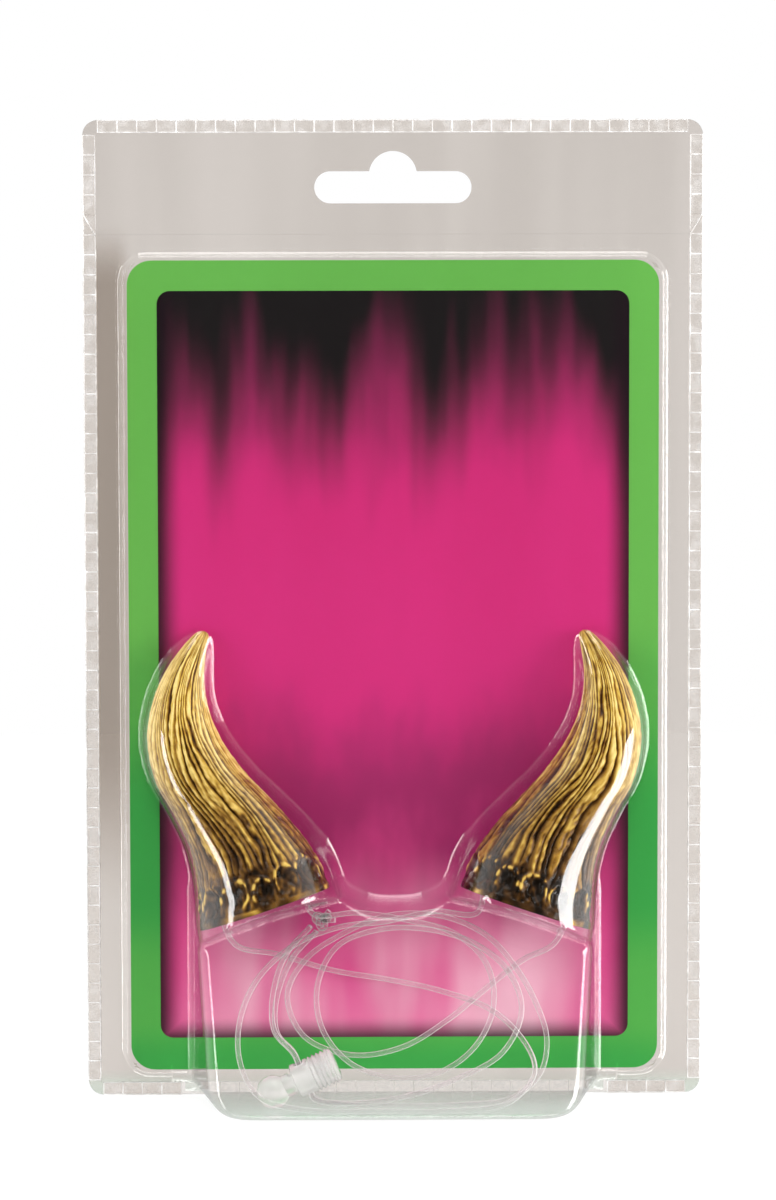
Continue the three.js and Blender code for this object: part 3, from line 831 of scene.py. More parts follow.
wall_strip = tray_wall()
print("tray wall", len(wall_strip.faces), "faces")

# %% [markdown]
# The remeshed body is cut back to the strip's seam, and its back is cut away, so that only the
# front skin is left. Small faces on the flat levels are dissolved tile by tile. A Solidify
# modifier then gives the whole skin its wall.

# %% Formed shell
SKIN_BACK_Z = 0.75
FLAT_TILE, FLAT_NEAR, FLAT_FACING, FLAT_ANGLE = 6, 0.12, 0.999, 0.002
SHELL_WALL = 0.35


def tile_of(face):
    middle = face.calc_center_median()
    return middle.x // FLAT_TILE, middle.y // FLAT_TILE


score_gap(shell)
for place, away, beyond in (
    ((TRAY_HALF - TRAY_SEAM, 0, 0), (1, 0, 0), 0),
    ((TRAY_SEAM - TRAY_HALF, 0, 0), (-1, 0, 0), 0),
    ((0, TRAY_TOP - TRAY_SEAM, 0), (0, 1, 0), 0),
    ((0, 0, SKIN_BACK_Z), (0, 0, -1), 0),
    ((0, TRAY_BOTTOM + TRAY_SEAM, 0), (0, -1, 0), GAP_HALF),
    ((0, WELD_WIDTH, 0), (0, -1, 0), NOTCH_HALF),
):
    cut(shell, [f for f in shell.faces if abs(f.calc_center_median().x) >= beyond], place, away)
shell.normal_update()
for level in (FLANGE_TOP, TRAY_HEIGHT):
    near = [v for v in shell.verts if abs(v.co.z - level) < FLAT_NEAR]
    flat = dict.fromkeys(v for v in near if v.normal.z > FLAT_FACING)
    for vert in flat:
        vert.co.z = level
    inner = []
    for edge in shell.edges:
        if len(edge.link_faces) == 2 and all(v in flat for v in edge.verts):
            one, two = (tile_of(face) for face in edge.link_faces)
            if one == two:
                inner.append(edge)
    bmesh.ops.dissolve_limit(shell, angle_limit=FLAT_ANGLE, verts=list(flat), edges=inner)
shell = join([shell, wall_strip])
shell_piece = finished("front_shell_formed", shell, [front_clear], "pack", ["front_shell"])
walled(shell_piece, SHELL_WALL, rim=False)

# %% [markdown]
# Round the formed part runs the flange: the rim of the front sheet, welded to the back sheet in a
# row of small pressed pads. A strip of faces follows the outline, one face for each pad, and
# inset_individual presses the pads in. The inside of a sheet is filled with triangle_fill, which
# leaves the hang slot open. The flange is filled only above the formed part.

# %% Sheets with welded rims
SHEET_HALF, SHEET_TOP, SHEET_CORNER = 63, 200, 3
PAD_PITCH = 4.0
PAD_DEPTH, PAD_FRAME = 0.14, 0.2
SHEET_WALL = 0.4
SLOT_HALF, SLOT_BOTTOM, SLOT_HEIGHT = 16, 183.1, 6.5
SLOT_HUMP_RADIUS, SLOT_HUMP_TOP = 4.9, 193.7
ARC_POINTS, CORNER_STEPS = 25, 6


def slot_outline(z):
    radius = SLOT_HEIGHT / 2
    end = SLOT_HALF - radius
    middle = SLOT_BOTTOM + radius
    hump_y = SLOT_HUMP_TOP - SLOT_HUMP_RADIUS
    rise = math.asin((SLOT_BOTTOM + SLOT_HEIGHT - hump_y) / SLOT_HUMP_RADIUS)
    arcs = [
        (end, middle, radius, -math.pi / 2, math.pi / 2),
        (0, hump_y, SLOT_HUMP_RADIUS, rise, math.pi - rise),
        (-end, middle, radius, math.pi / 2, math.pi * 1.5),
    ]
    points = []
    for x, y, r, start, stop in arcs:
        for turn in np.linspace(start, stop, ARC_POINTS):
            points.append(Vector((x + r * math.cos(turn), y + r * math.sin(turn), z)))
    return points


def weld_outlines(z):
    """Points of the outer edge and of the weld's inner line, with a name for each span."""
    outer, inner, spans = [], [], []
    width, height = 2 * (SHEET_HALF - SHEET_CORNER), SHEET_TOP - 2 * SHEET_CORNER
    sides = [
        ((SHEET_CORNER - SHEET_HALF, 0), (1, 0), width),
        ((SHEET_HALF, SHEET_CORNER), (0, 1), height),
        ((SHEET_HALF - SHEET_CORNER, SHEET_TOP), (-1, 0), width),
        ((-SHEET_HALF, SHEET_TOP - SHEET_CORNER), (0, -1), height),
    ]
    for start, way, length in sides:
        start, way = Vector((*start, z)), Vector((*way, 0))
        inward = Vector((-way.y, way.x, 0))
        pads = round(length / PAD_PITCH)
        for i in range(pads + 1):
            edge = start + way * (length * i / pads)
            outer.append(edge)
            inner.append(edge + inward * WELD_WIDTH)
            spans.append("pad" if i < pads else "corner")
        centre = outer[-1] + inward * SHEET_CORNER
        for k in range(1, CORNER_STEPS):
            turn = k / CORNER_STEPS * math.pi / 2
            offset = way * math.sin(turn) - inward * math.cos(turn)
            outer.append(centre + offset * SHEET_CORNER)
            inner.append(centre + offset * (SHEET_CORNER - WELD_WIDTH))
            spans.append("corner")
    return outer, inner, spans


def welded_sheet(z, facing, notched=False, open_below=None):
    """A flat sheet with its weld, left out under the wedge if notched, and open below a height."""
    bm = bmesh.new()
    outer, inner, spans = weld_outlines(z)
    outside = [bm.verts.new(p) for p in outer]
    inside = [bm.verts.new(p) for p in inner]
    pads = []
    for i, span in enumerate(spans):
        k = (i + 1) % len(spans)
        middle = (outer[i] + outer[k]) / 2
        if notched and middle.y < WELD_WIDTH / 2 and abs(middle.x) < NOTCH_HALF:
            continue
        face = bm.faces.new((outside[i], outside[k], inside[k], inside[i]))
        if span == "pad":
            pads.append(face)
    slot = [bm.verts.new(p) for p in slot_outline(z)]
    edges = [bm.edges.new(pair) for pair in zip(slot, slot[1:] + slot[:1])]
    loop = inside
    if open_below is not None:
        loop = [vert for vert in inside if vert.co.y >= open_below]
        beside = [vert for vert in loop if abs(vert.co.x) > SHEET_HALF - SHEET_CORNER]
        for vert in sorted(beside, key=lambda v: v.co.y)[:2]:
            vert.co.y = open_below
    for i, vert in enumerate(loop):
        after = loop[(i + 1) % len(loop)]
        edges.append(bm.edges.get((vert, after)) or bm.edges.new((vert, after)))
    bmesh.ops.triangle_fill(bm, edges=edges, use_beauty=True)
    bmesh.ops.recalc_face_normals(bm, faces=bm.faces)
    turned_to(bm, facing)
    pressed = bmesh.ops.inset_individual(bm, faces=pads, thickness=PAD_FRAME, depth=-PAD_DEPTH)
    for index, faces in ((1, pressed["faces"]), (2, pads)):
        for face in faces:
            face.material_index = index
    return bm


flange = welded_sheet(FLANGE_TOP, 1, notched=True, open_below=SKIRT_TOP)
flat_back = welded_sheet(0, -1)
for name, sheet, clear, nodes in (
    ("front_shell_flange", flange, front_clear, ()),
    ("back_sheet_clear", flat_back, back_clear, ["back_sheet"]),
):
    finishes = [clear, weld_white, weld_pad]
    walled(finished(name, sheet, finishes, "pack", nodes, smooth=False), SHEET_WALL)

# %% [markdown]
# The printed card is a thin board with a green border round a dark to pink panel. The border and
# the panel are faces of their own, so the line between them is crisp, and their colours come from
# slow gradients and noise on Object coordinates. The lighter and darker bands low on the green
# border are painted light and shade. The back of the board is bare.

# %% Card finishes
BOARD_BUMP = 0.6
PRINT_ROUGHNESS, PRINT_GRAIN, PRINT_GRAIN_HEIGHT = 0.42, 1800, 0.00001
BORDER_PAINTED_SHADE_BANDS, BORDER_SWAY = 10, 0.12
PANEL_HALF, PANEL_BOTTOM, PANEL_TOP, PANEL_CORNER = 48.15, 11.8, 165.4, 2.7
STREAK_SWAY, MOTTLE_SWAY, EDGE_SHADE = 0.55, 0.34, 0.93


def board_finish(tree, colour, roughness, grain, grain_height):
    normal = bumped(tree, grain, grain_height, BOARD_BUMP)
    show(tree, surface(tree, {"Base Color": colour, "Roughness": roughness, "Normal": normal}))


def printed_finish(tree, place, colour):
    grain = noise_on(tree, place, PRINT_GRAIN, 2)
    board_finish(tree, colour, PRINT_ROUGHNESS, grain, PRINT_GRAIN_HEIGHT)


def border_finish():
    """Printed green with painted light and shade: lighter and darker bands, in patches, over the lowest
    tenth of a metre.
    """
    material, tree = new_finish("printed_border_and_painted_shade")
    place = object_place(tree)
    # Painted light and shade: the green runs lighter and darker in bands up the border.
    rise = math_node(tree, "MULTIPLY", axis_of(tree, place, "Z"), BORDER_PAINTED_SHADE_BANDS)
    level = swayed(tree, rise, noise_on(tree, place, (14, 1, 22), 1.5), BORDER_SWAY)
    colour = ramp(tree, level, [
        (0.06, paint(58, 179, 75)),
        (0.14, paint(86, 190, 79)),
        (0.24, paint(84, 188, 78)),
        (0.4, paint(54, 177, 74)),
        (0.6, paint(52, 175, 73)),
        (0.86, paint(92, 186, 78)),
        (1.0, paint(103, 188, 78)),
    ], "EASE")
    printed_finish(tree, place, colour)
    return material


def panel_finish():
    """Magenta, pale in puffs low down, in streaks into black at the top, and dark at its edges."""
    material, tree = new_finish("printed_panel")
    place = object_place(tree)
    across = math_node(tree, "ABSOLUTE", axis_of(tree, place, "X"))
    above = math_node(tree, "SUBTRACT", axis_of(tree, place, "Z"), PANEL_BOTTOM * MM)
    level = math_node(tree, "DIVIDE", above, (PANEL_TOP - PANEL_BOTTOM) * MM)

    mottle = noise_on(tree, place, (55, 1, 26), 3.5, 0.62)
    colour = ramp(tree, swayed(tree, level, mottle, MOTTLE_SWAY), [
        (0.0, paint(244, 98, 166)),
        (0.16, paint(232, 60, 146)),
        (0.32, paint(180, 32, 112)),
        (0.5, paint(222, 36, 132)),
        (0.75, paint(218, 30, 126)),
        (1.0, paint(150, 20, 90)),
    ], "EASE")

    puffs = smooth_step(tree, noise_on(tree, place, (62, 1, 15), 2.5), 0.28, 0.66)
    low = smooth_step(tree, level, 0.27, 0.06)
    middle = smooth_step(tree, across, 0.047, 0.026)
    cloud = math_node(tree, "MULTIPLY", puffs, math_node(tree, "MULTIPLY", low, middle))
    colour = blend_colours(tree, cloud, colour, paint(255, 192, 216))

    streaks = noise_on(tree, place, (75, 1, 9), 2.5, 0.55)
    dark = smooth_step(tree, swayed(tree, level, streaks, STREAK_SWAY), 0.7, 0.96)
    colour = blend_colours(tree, dark, colour, paint(22, 18, 20))

    side = smooth_step(tree, across, 0.0428, 0.0482)
    foot = smooth_step(tree, level, 0.03, -0.004)
    edge = math_node(tree, "MULTIPLY", math_node(tree, "MAXIMUM", side, foot), EDGE_SHADE)
    printed_finish(tree, place, blend_colours(tree, edge, colour, paint(26, 6, 20)))
    return material


def bare_board_finish():
    material, tree = new_finish("bare_board")
    fibres = noise_on(tree, object_place(tree), (700, 700, 260), 4, 0.65)
    colour = ramp(tree, fibres, [(0.3, paint(196, 193, 186)), (0.7, paint(226, 224, 219))])
    board_finish(tree, colour, 0.8, fibres, 0.00003)
    return material


card_finishes = [border_finish(), panel_finish(), bare_board_finish()]
print("card finishes", [finish.name for finish in card_finishes])

# %% Card
CARD_HALF, CARD_BOTTOM, CARD_TOP, CARD_CORNER = 54.2, 5.2, 171.6, 5
CARD_BACK, CARD_FACE = 0.75, 1.2
CORNER_POINTS = 12
PANEL, BOARD = 1, 2

card = bmesh.new()
for outline in (
    rounded_outline(CARD_HALF, CARD_BOTTOM, CARD_TOP, CARD_CORNER, CARD_FACE, CORNER_POINTS),
    rounded_outline(PANEL_HALF, PANEL_BOTTOM, PANEL_TOP, PANEL_CORNER, CARD_FACE, CORNER_POINTS),
):
    verts = [card.verts.new(p) for p in outline]
    for pair in zip(verts, verts[1:] + verts[:1]):
        card.edges.new(pair)
bmesh.ops.triangle_fill(card, edges=card.edges, use_beauty=True)
card.faces.new(verts).material_index = PANEL
bmesh.ops.recalc_face_normals(card, faces=card.faces)
turned_to(card, 1)
card_piece = finished("printed_card", card, card_finishes, "pack", ["card"], smooth=False)
board = walled(card_piece, CARD_FACE - CARD_BACK)
board.material_offset = BOARD
board.material_offset_rim = BOARD

# %% [markdown]
# Each horn is a rolled grid on the rungs. Its surface is carved in code: wavy grooves, nearly four
# dozen round it, run from the base to the tip, and the lowest part is a row of hollowed scallops
# with raised, cracked rims. How light the paint is follows the carving, with some painted light
# and shade for each horn, and is kept as an attribute: gold on the ridges, dark brown washed into
# the grooves, near black at the base.

# %% Horn carving
HORN_GROOVES = 46
HORN_AROUND = 384
HORN_ALONG = 240
HORN_LENGTH = 66
SCALLOPS = 14
SCALLOP_TOP, BASE_LIP = 8.8, 1.4
TIP_SHARE, TIP_HALF = 0.022, 0.7
CARVING_INSET, FULL_CARVING_HALF, CARVING_START = 0.3, 9, (-0.01, 0.03)
# The carving's noises: a scale round the horn, a start of its own, and a scale along the horn.
HORN_NOISES = ((1.6, 0, 3.0), (5.0, 0, 13.0), (17.0, 0, 46.0), (3.1, 3, 3.6), (2.7, 5, 6.0))
RIGHT_SEED, LEFT_SEED = 1.0, 4.0
# Painted light and shade for each horn: the left horn, on which more light falls, is painted
# lighter high up and in its scallops, and the right horn is painted darker low down.
HORN_PAINTED_LIGHT = {RIGHT_SEED: (-0.06, 0.04), LEFT_SEED: (-0.02, 0.15)}
HORN_PAINTED_LIGHT_SPAN = (0.2, 0.5)
SCALLOP_PAINTED_LIGHT = {RIGHT_SEED: 0.02, LEFT_SEED: 0.14}
# The recessed base plate and its rim, as pairs: a share of the section, and how deep it lies.
PLATE_ROWS = [(0.0, 0.9), (0.5, 0.9), (0.86, 0.9), (0.9, 0.75), (0.925, 0.1), (0.955, 0.0), (0.985, 0.05)]
PLATE_LIGHT = 0.1


def horn_noises(u, around, seed):
    """Noises that close round the horn: slow, quick and fine, of the grooves' width and fading."""
    turn = around * 2 * math.pi
    ring = Vector((math.cos(turn), math.sin(turn), seed * 7.3))
    for scale, start, stretch in HORN_NOISES:
        yield noise.noise(ring * scale + Vector((start, 0, u * stretch)))


def horn_carving(u, around, seed):
    """Height in mm, and how light the paint is, at a share u of the length and a share around."""
    slow, quick, fine, width, fading = horn_noises(u, around, seed)
    phase = HORN_GROOVES * around + 1.6 * slow + 1.2 * width + 0.32 * quick + 0.1 * fine
    first = abs(math.sin(math.pi * phase)) ** 0.66
    second = abs(math.sin(math.pi * (phase * 2.31 + 1.3 * slow + seed)))
    tone = noise.noise(Vector((math.floor(phase) % HORN_GROOVES * 1.7, u * 2.5, seed)))
    depth = 0.95 + 0.8 * noise.noise(Vector((round(phase) % HORN_GROOVES * 2.3, u * 4.5, seed + 9)))
    fade = 0.55 + 0.45 * fading
    ridge = (1 - min(1.3, max(0.1, depth)) * (1 - first)) * 0.74 + second**0.6 * 0.26 * fade
    ridge_height = (ridge - 0.6) * 1.2 + 0.1 * fine
    # Painted light and shade: each horn's own lighter or darker share, low and high up.
    painted_light_offset = mix(*HORN_PAINTED_LIGHT[seed], ease(u, *HORN_PAINTED_LIGHT_SPAN))
    light = clamp01(0.86 * ridge + 0.32 * tone + 0.2 * fine + 0.14 * quick + painted_light_offset)

    rise = u * HORN_LENGTH
    cell = SCALLOPS * around + 0.3 * slow
    number = math.floor(cell) % SCALLOPS
    jitter = noise.noise(Vector((number * 3.7, seed, 0.4)))
    across = (cell % 1 - 0.5) / (0.42 + 0.1 * jitter)
    up = (rise - 4.9 - 1.2 * jitter) / (3.1 + 1.1 * jitter)
    reach = math.hypot(across, up) + 0.12 * quick + 0.08 * fine
    pit = 1 - ease(reach, 0.45, 1.0)
    rim = math.exp(-(((reach - 1.1) / 0.15) ** 2)) * ease(up + 0.5 * quick, -0.8, 0.1)
    broken = ease(fine + 0.5 * quick, -0.2, 0.25)
    lip = 1 - ease(rise + 0.5 * quick, BASE_LIP * 0.75, BASE_LIP * 1.15)
    scallop_height = -0.95 * pit + 0.42 * rim + 0.18 * fine + 0.2 * lip
    scallop_light = 0.22 + 0.8 * rim * broken + 0.4 * fine + 0.16 * quick - 0.12 * pit
    # Painted light: the scallops are lighter on the left horn.
    scallop_light += SCALLOP_PAINTED_LIGHT[seed]
    scallop_light = clamp01(mix(scallop_light, 0.52 + 0.9 * quick, lip))

    ragged = rise + 2.2 * slow + 1.6 * quick
    low = 1 - ease(ragged, SCALLOP_TOP * 0.86, SCALLOP_TOP * 1.12)
    return mix(ridge_height, scallop_height, low), mix(light, scallop_light, low)


def horn_row(v):
    """A row's share of the length, share of the section and recess: the plate, then the horn."""
    row = round(v * HORN_ALONG)
    if row < len(PLATE_ROWS):
        return 0.0, *PLATE_ROWS[row]
    return (row - len(PLATE_ROWS)) / (HORN_ALONG - len(PLATE_ROWS)), 1.0, 0.0


def horn_mesh(side, seed):
    bm = bmesh.new()
    bmesh.ops.create_grid(bm, x_segments=HORN_AROUND, y_segments=HORN_ALONG, size=0.5)
    relief = bm.verts.layers.float.new("relief")
    length = bm.verts.layers.float.new("length")
    rungs = {}
    for vert in bm.verts:
        around, v = (vert.co.x + 0.5) % 1.0, vert.co.y + 0.5
        u, scale, recess = horn_row(v)
        rung = rungs.setdefault(u, Rung(u))
        turn = around * 2 * math.pi
        height, light = horn_carving(u, around, seed) if scale == 1 else (0.0, PLATE_LIGHT)
        end = clamp01((u - (1 - TIP_SHARE)) / TIP_SHARE)
        closing = math.sqrt(max(0.0, 1 - end * end))
        height *= min(1.0, rung.half / FULL_CARVING_HALF) * closing * ease(u, *CARVING_START)
        blunt = math.hypot(rung.half, TIP_HALF) - rung.half - CARVING_INSET + height
        across = (rung.half + blunt) * math.cos(turn) * scale * closing
        z = rung.z + (rung.depth + blunt) * math.sin(turn) * scale * closing
        vert.co = rung.point(across, z, recess, side)
        vert[relief] = light
        vert[length] = u
    closed_up(bm)
    return bm


print("horn grid", HORN_AROUND, "by", HORN_ALONG, "with", HORN_GROOVES, "grooves")

# %% [markdown]
# A small collar stands round each hole where the cord goes through the base plate.

# %% Cord collars
CORD_HOLE_OFFSET, CORD_HOLE_Z = 8.5, 9.2
COLLAR_RADIUS, COLLAR_BEAD, COLLAR_RECESS = 1.35, 0.42, 0.75
COLLAR_AROUND, BEAD_AROUND = 24, 10


def cord_collar(position, side):
    centre = base.point(position * CORD_HOLE_OFFSET, CORD_HOLE_Z, COLLAR_RECESS, side)
    axis = Vector((base.along.x * side, base.along.y, 0))
    turn_to = Vector((0, 0, 1)).rotation_difference(axis).to_matrix()

    def place(u, v):
        a, b = u * 2 * math.pi, v * 2 * math.pi
        reach = COLLAR_RADIUS + COLLAR_BEAD * math.cos(b)
        bead = Vector((reach * math.cos(a), reach * math.sin(a), COLLAR_BEAD * math.sin(b)))
        return centre + turn_to @ bead

    return rolled_grid(COLLAR_AROUND, BEAD_AROUND, place)


collars = {side: [cord_collar(position, side) for position in (1, -1)] for side in (1, -1)}
print("cord collars", sum(map(len, collars.values())))

# %% [markdown]
# The horn paint reads the carving: a ramp from wash to ridge, which is duller near the base, and a
# fine grain. It is a satin enamel with weak highlights.

# %% Horn paint
PAINT_GRAIN, GRAIN_SWAY, GRAIN_BUMP = 420, 0.24, (0.00012, 0.6)
PATCH_SCALE, PATCH_SWAY, BRIGHT_SPAN = 60, 0.3, (0.2, 0.76)
PAINT_ROUGHNESS, ROUGHNESS_SPAN, PAINT_SPECULAR = (0.3, 0.2), (0.1, 1.2), 0.24


def horn_finish():
    material, tree = new_finish("horn_paint")
    place = object_place(tree)
    light, length = (
        add_node(tree, "ShaderNodeAttribute", attribute_name=name).outputs["Fac"]
        for name in ("relief", "length")
    )
    grain = noise_on(tree, place, PAINT_GRAIN, 4, 0.6)
    worn = swayed(tree, light, grain, GRAIN_SWAY)
    bright = ramp(tree, worn, [
        (0.26, paint(66, 38, 10)),
        (0.44, paint(118, 76, 24)),
        (0.6, paint(174, 130, 46)),
        (0.76, paint(224, 188, 84)),
        (0.94, paint(255, 232, 150)),
    ])
    dull = ramp(tree, worn, [
        (0.12, paint(22, 12, 2)),
        (0.4, paint(70, 44, 14)),
        (0.62, paint(122, 86, 34)),
        (0.8, paint(176, 134, 52)),
        (1.0, paint(238, 206, 104)),
    ])
    rising = swayed(tree, length, noise_on(tree, place, PATCH_SCALE, 2), PATCH_SWAY)
    colour = blend_colours(tree, smooth_step(tree, rising, *BRIGHT_SPAN), dull, bright)
    rough = math_node(tree, "MULTIPLY_ADD", smooth_step(tree, grain, *ROUGHNESS_SPAN), *PAINT_ROUGHNESS)
    show(tree, surface(tree, {
        "Base Color": colour, "Roughness": rough, "Specular IOR Level": PAINT_SPECULAR,
        "Normal": bumped(tree, grain, *GRAIN_BUMP),
    }))
    return material


horn_paint = horn_finish()
for name, side, seed in (("horn_right", 1, RIGHT_SEED), ("horn_left", -1, LEFT_SEED)):
    horn = join([horn_mesh(side, seed), *collars[side]])
    finished(name + "_carved", horn, [horn_paint], "pack", [name])

# %% [markdown]
# The elastic cord is clear and a little milky, and a white rim along its edges is a painted
# highlight for the light that the clear cord bends there. The cord lock is cloudy clear plastic,
# and it lets light through instead of throwing a full shadow.

# %% Clear moulding finish
FLOW_SCALE, FLOW_BUMP = 500, (0.00004, 0.5)
LOCK_IOR, LOCK_SHADOW = 1.45, (0.9, 0.9, 0.9, 1)
MILK_SCALE, MILK_SHARE, HIGHLIGHT_RIM_SPAN, HIGHLIGHT_RIM_SHARE = 260, (0.16, 0.05), (0.3, 0.64), 0.85
THREAD_TINT, THREAD_COLOUR = (0.97, 0.95, 0.96, 1), (1.0, 0.99, 0.99, 1)
THREAD_ROUGHNESS, THREAD_IOR, THREAD_COAT = 0.12, 1.8, 0.6


def clear_moulding_finish(name, colour, roughness, clearness):
    material, tree = new_finish(name)
    flow = noise_on(tree, object_place(tree), FLOW_SCALE, 2)
    solid = surface(tree, {
        "Base Color": colour, "Roughness": roughness, "IOR": LOCK_IOR,
        "Transmission Weight": clearness, "Normal": bumped(tree, flow, *FLOW_BUMP),
    })
    shadow = add_node(tree, "ShaderNodeLightPath").outputs["Is Shadow Ray"]
    show(tree, mixed(tree, shadow, solid, see_through(tree, LOCK_SHADOW)))
    return material


def clear_thread_finish(name):
    material, tree = new_finish(name)
    cloud = noise_on(tree, object_place(tree), MILK_SCALE, 2)
    facing = add_node(tree, "ShaderNodeLayerWeight", {"Blend": 0.5}).outputs["Facing"]
    milk = math_node(tree, "MULTIPLY_ADD", cloud, *MILK_SHARE)
    # Painted highlight: a white rim where the cord is seen edge-on, added over the milky cloud.
    rim = smooth_step(tree, facing, *HIGHLIGHT_RIM_SPAN)
    share = math_node(tree, "MULTIPLY_ADD", rim, HIGHLIGHT_RIM_SHARE, milk, clamp=True)
    body = surface(tree, {
        "Base Color": THREAD_COLOUR, "Roughness": THREAD_ROUGHNESS, "IOR": THREAD_IOR,
        "Coat Weight": THREAD_COAT,
    })
    show(tree, mixed(tree, share, see_through(tree, THREAD_TINT), body))
    return material


cord_clear = clear_thread_finish("clear_elastic")
lock_clear = clear_moulding_finish("clear_lock", (0.95, 0.955, 0.95, 1), 0.12, 0.64)
for piece in (cord, knot):
    piece.data.materials.append(cord_clear)
print("moulding finishes", cord_clear.name, lock_clear.name)

# %% [markdown]
# The lock is a ribbed barrel, and a plunger with a round button that slides in it against a small
# coil spring. Each is turned from a profile with spin, and the cord runs through a hole across both.

# %% Cord lock
LOCK_CENTRE = Vector((-18.4, 7, 21))
LOCK_ANGLE = math.radians(24.5)
LOCK_PLACE = Matrix.Translation(LOCK_CENTRE) @ Matrix.Rotation(LOCK_ANGLE - math.pi / 2, 4, "Z")
BARREL_RADIUS, BARREL_START, BARREL_END = 3.7, -2.2, 7.0
BORE_RADIUS, BORE_END = 2.6, 6.0
STEM_RADIUS, STEM_END = 2.3, 2.2
BUTTON_RADIUS, BUTTON_CENTRE = 3.4, -7.0
CROSS_HOLE_WIDTH, CROSS_HOLE_LENGTH, BUTTON_TRAVEL = 3.4, 2.0, 2.0
CUTTER_REACH, HOLE_ROUNDING = 16, 0.6
LOCK_STEPS, BUTTON_STEPS = 48, 24
RIBS, RIB_STEPS, RIB_START, RIB_PITCH, RIB_DEPTH = 5, 8, 1.7, 0.92, 0.24
SHARP_ANGLE = math.radians(35)


def turned(profile):
    bm = bmesh.new()
    verts = [bm.verts.new((radius, along, 0)) for radius, along in profile]
    edges = [bm.edges.new(pair) for pair in zip(verts, verts[1:])]
    bmesh.ops.spin(
        bm, geom=verts + edges, cent=(0, 0, 0), axis=(0, 1, 0), angle=2 * math.pi, steps=LOCK_STEPS,
        use_merge=True,
    )
    bmesh.ops.remove_doubles(bm, verts=bm.verts, dist=1e-4)
    bmesh.ops.recalc_face_normals(bm, faces=bm.faces)
    return bm


def with_cross_hole(bm, length, middle):
    """The turned piece with a flat hole through it, by a Boolean with a rounded block."""
    block = bmesh.new()
    size = Matrix.Diagonal((CUTTER_REACH, length, CROSS_HOLE_WIDTH, 1))
    bmesh.ops.create_cube(block, size=1, matrix=Matrix.Translation((0, middle, 0)) @ size)
    long_edges = [e for e in block.edges if abs(e.verts[0].co.x - e.verts[1].co.x) > 1]
    bmesh.ops.bevel(
        block, geom=long_edges, offset=HOLE_ROUNDING, segments=3, profile=0.5, material=-1, affect="EDGES"
    )
    piece, cutter = passing_object("turned", bm), passing_object("cutter", block)
    modifier = piece.modifiers.new("hole", "BOOLEAN")
    modifier.object = cutter
    modifier.operation = "DIFFERENCE"
    modifier.solver = "EXACT"
    return after_modifiers(piece, cutter)


def barrel_profile():
    """Radius and place along the axis, from the open end over the ribs and back along the bore."""
    r, bore = BARREL_RADIUS, BORE_RADIUS
    profile = [(bore, BARREL_START), (r - 0.5, BARREL_START), (r - 0.1, BARREL_START + 0.3), (r - 0.1, 1.6)]
    for step in range(RIBS * RIB_STEPS):
        turn = 2 * math.pi * (step % RIB_STEPS / RIB_STEPS - 0.5)
        along = RIB_START + step / RIB_STEPS * RIB_PITCH
        profile.append((r - RIB_DEPTH + RIB_DEPTH * math.cos(turn), along))
    profile += [(r - 0.15, 6.4), (r - 0.5, 6.8), (r - 1.1, BARREL_END), (0, BARREL_END)]
    profile += [(0, BORE_END), (bore - 0.2, BORE_END), (bore, BORE_END - 0.2), (bore, BARREL_START)]
    return profile


def plunger_profile():
    profile = [(0, STEM_END), (STEM_RADIUS - 0.2, STEM_END), (STEM_RADIUS, STEM_END - 0.2)]
    start = math.asin(STEM_RADIUS / BUTTON_RADIUS)
    for i in range(BUTTON_STEPS + 1):
        turn = mix(start, math.pi, i / BUTTON_STEPS)
        radius = 0 if i == BUTTON_STEPS else BUTTON_RADIUS * math.sin(turn)
        profile.append((radius, BUTTON_CENTRE + BUTTON_RADIUS * math.cos(turn)))
    return profile


for name, profile, length, middle, body in (
    ("lock_barrel", barrel_profile(), CROSS_HOLE_LENGTH, 0, "pack"),
    ("lock_plunger", plunger_profile(), CROSS_HOLE_LENGTH + BUTTON_TRAVEL, -BUTTON_TRAVEL / 2, "button"),
):
    bm = with_cross_hole(turned(profile), length, middle)
    bmesh.ops.transform(bm, matrix=LOCK_PLACE, verts=bm.verts)
    piece = finished(name + "_clear", bm, [lock_clear], body, [name])
    piece.data.set_sharp_from_angle(angle=SHARP_ANGLE)

# %% [markdown]
# The spring is a real helix of wire. It is made as a curve with a round bevel and then turned
# into a mesh.

# %% Lock spring
SPRING_RADIUS, SPRING_WIRE = 1.85, 0.7
SPRING_START, SPRING_END, SPRING_TURNS = 2.5, 5.7, 4
SPRING_STEPS = SPRING_TURNS * 16
DRAWN_SCALE, DRAWN_ROUGHNESS = 1500, (0.2, 0.18)


def spring_finish():
    material, tree = new_finish("spring_steel")
    drawn = noise_on(tree, object_place(tree), DRAWN_SCALE, 2)
    colour = ramp(tree, drawn, [(0.3, paint(176, 176, 180)), (0.7, paint(214, 214, 218))])
    rough = math_node(tree, "MULTIPLY_ADD", drawn, *DRAWN_ROUGHNESS)
    show(tree, surface(tree, {"Base Color": colour, "Metallic": 1.0, "Roughness": rough}))
    return material


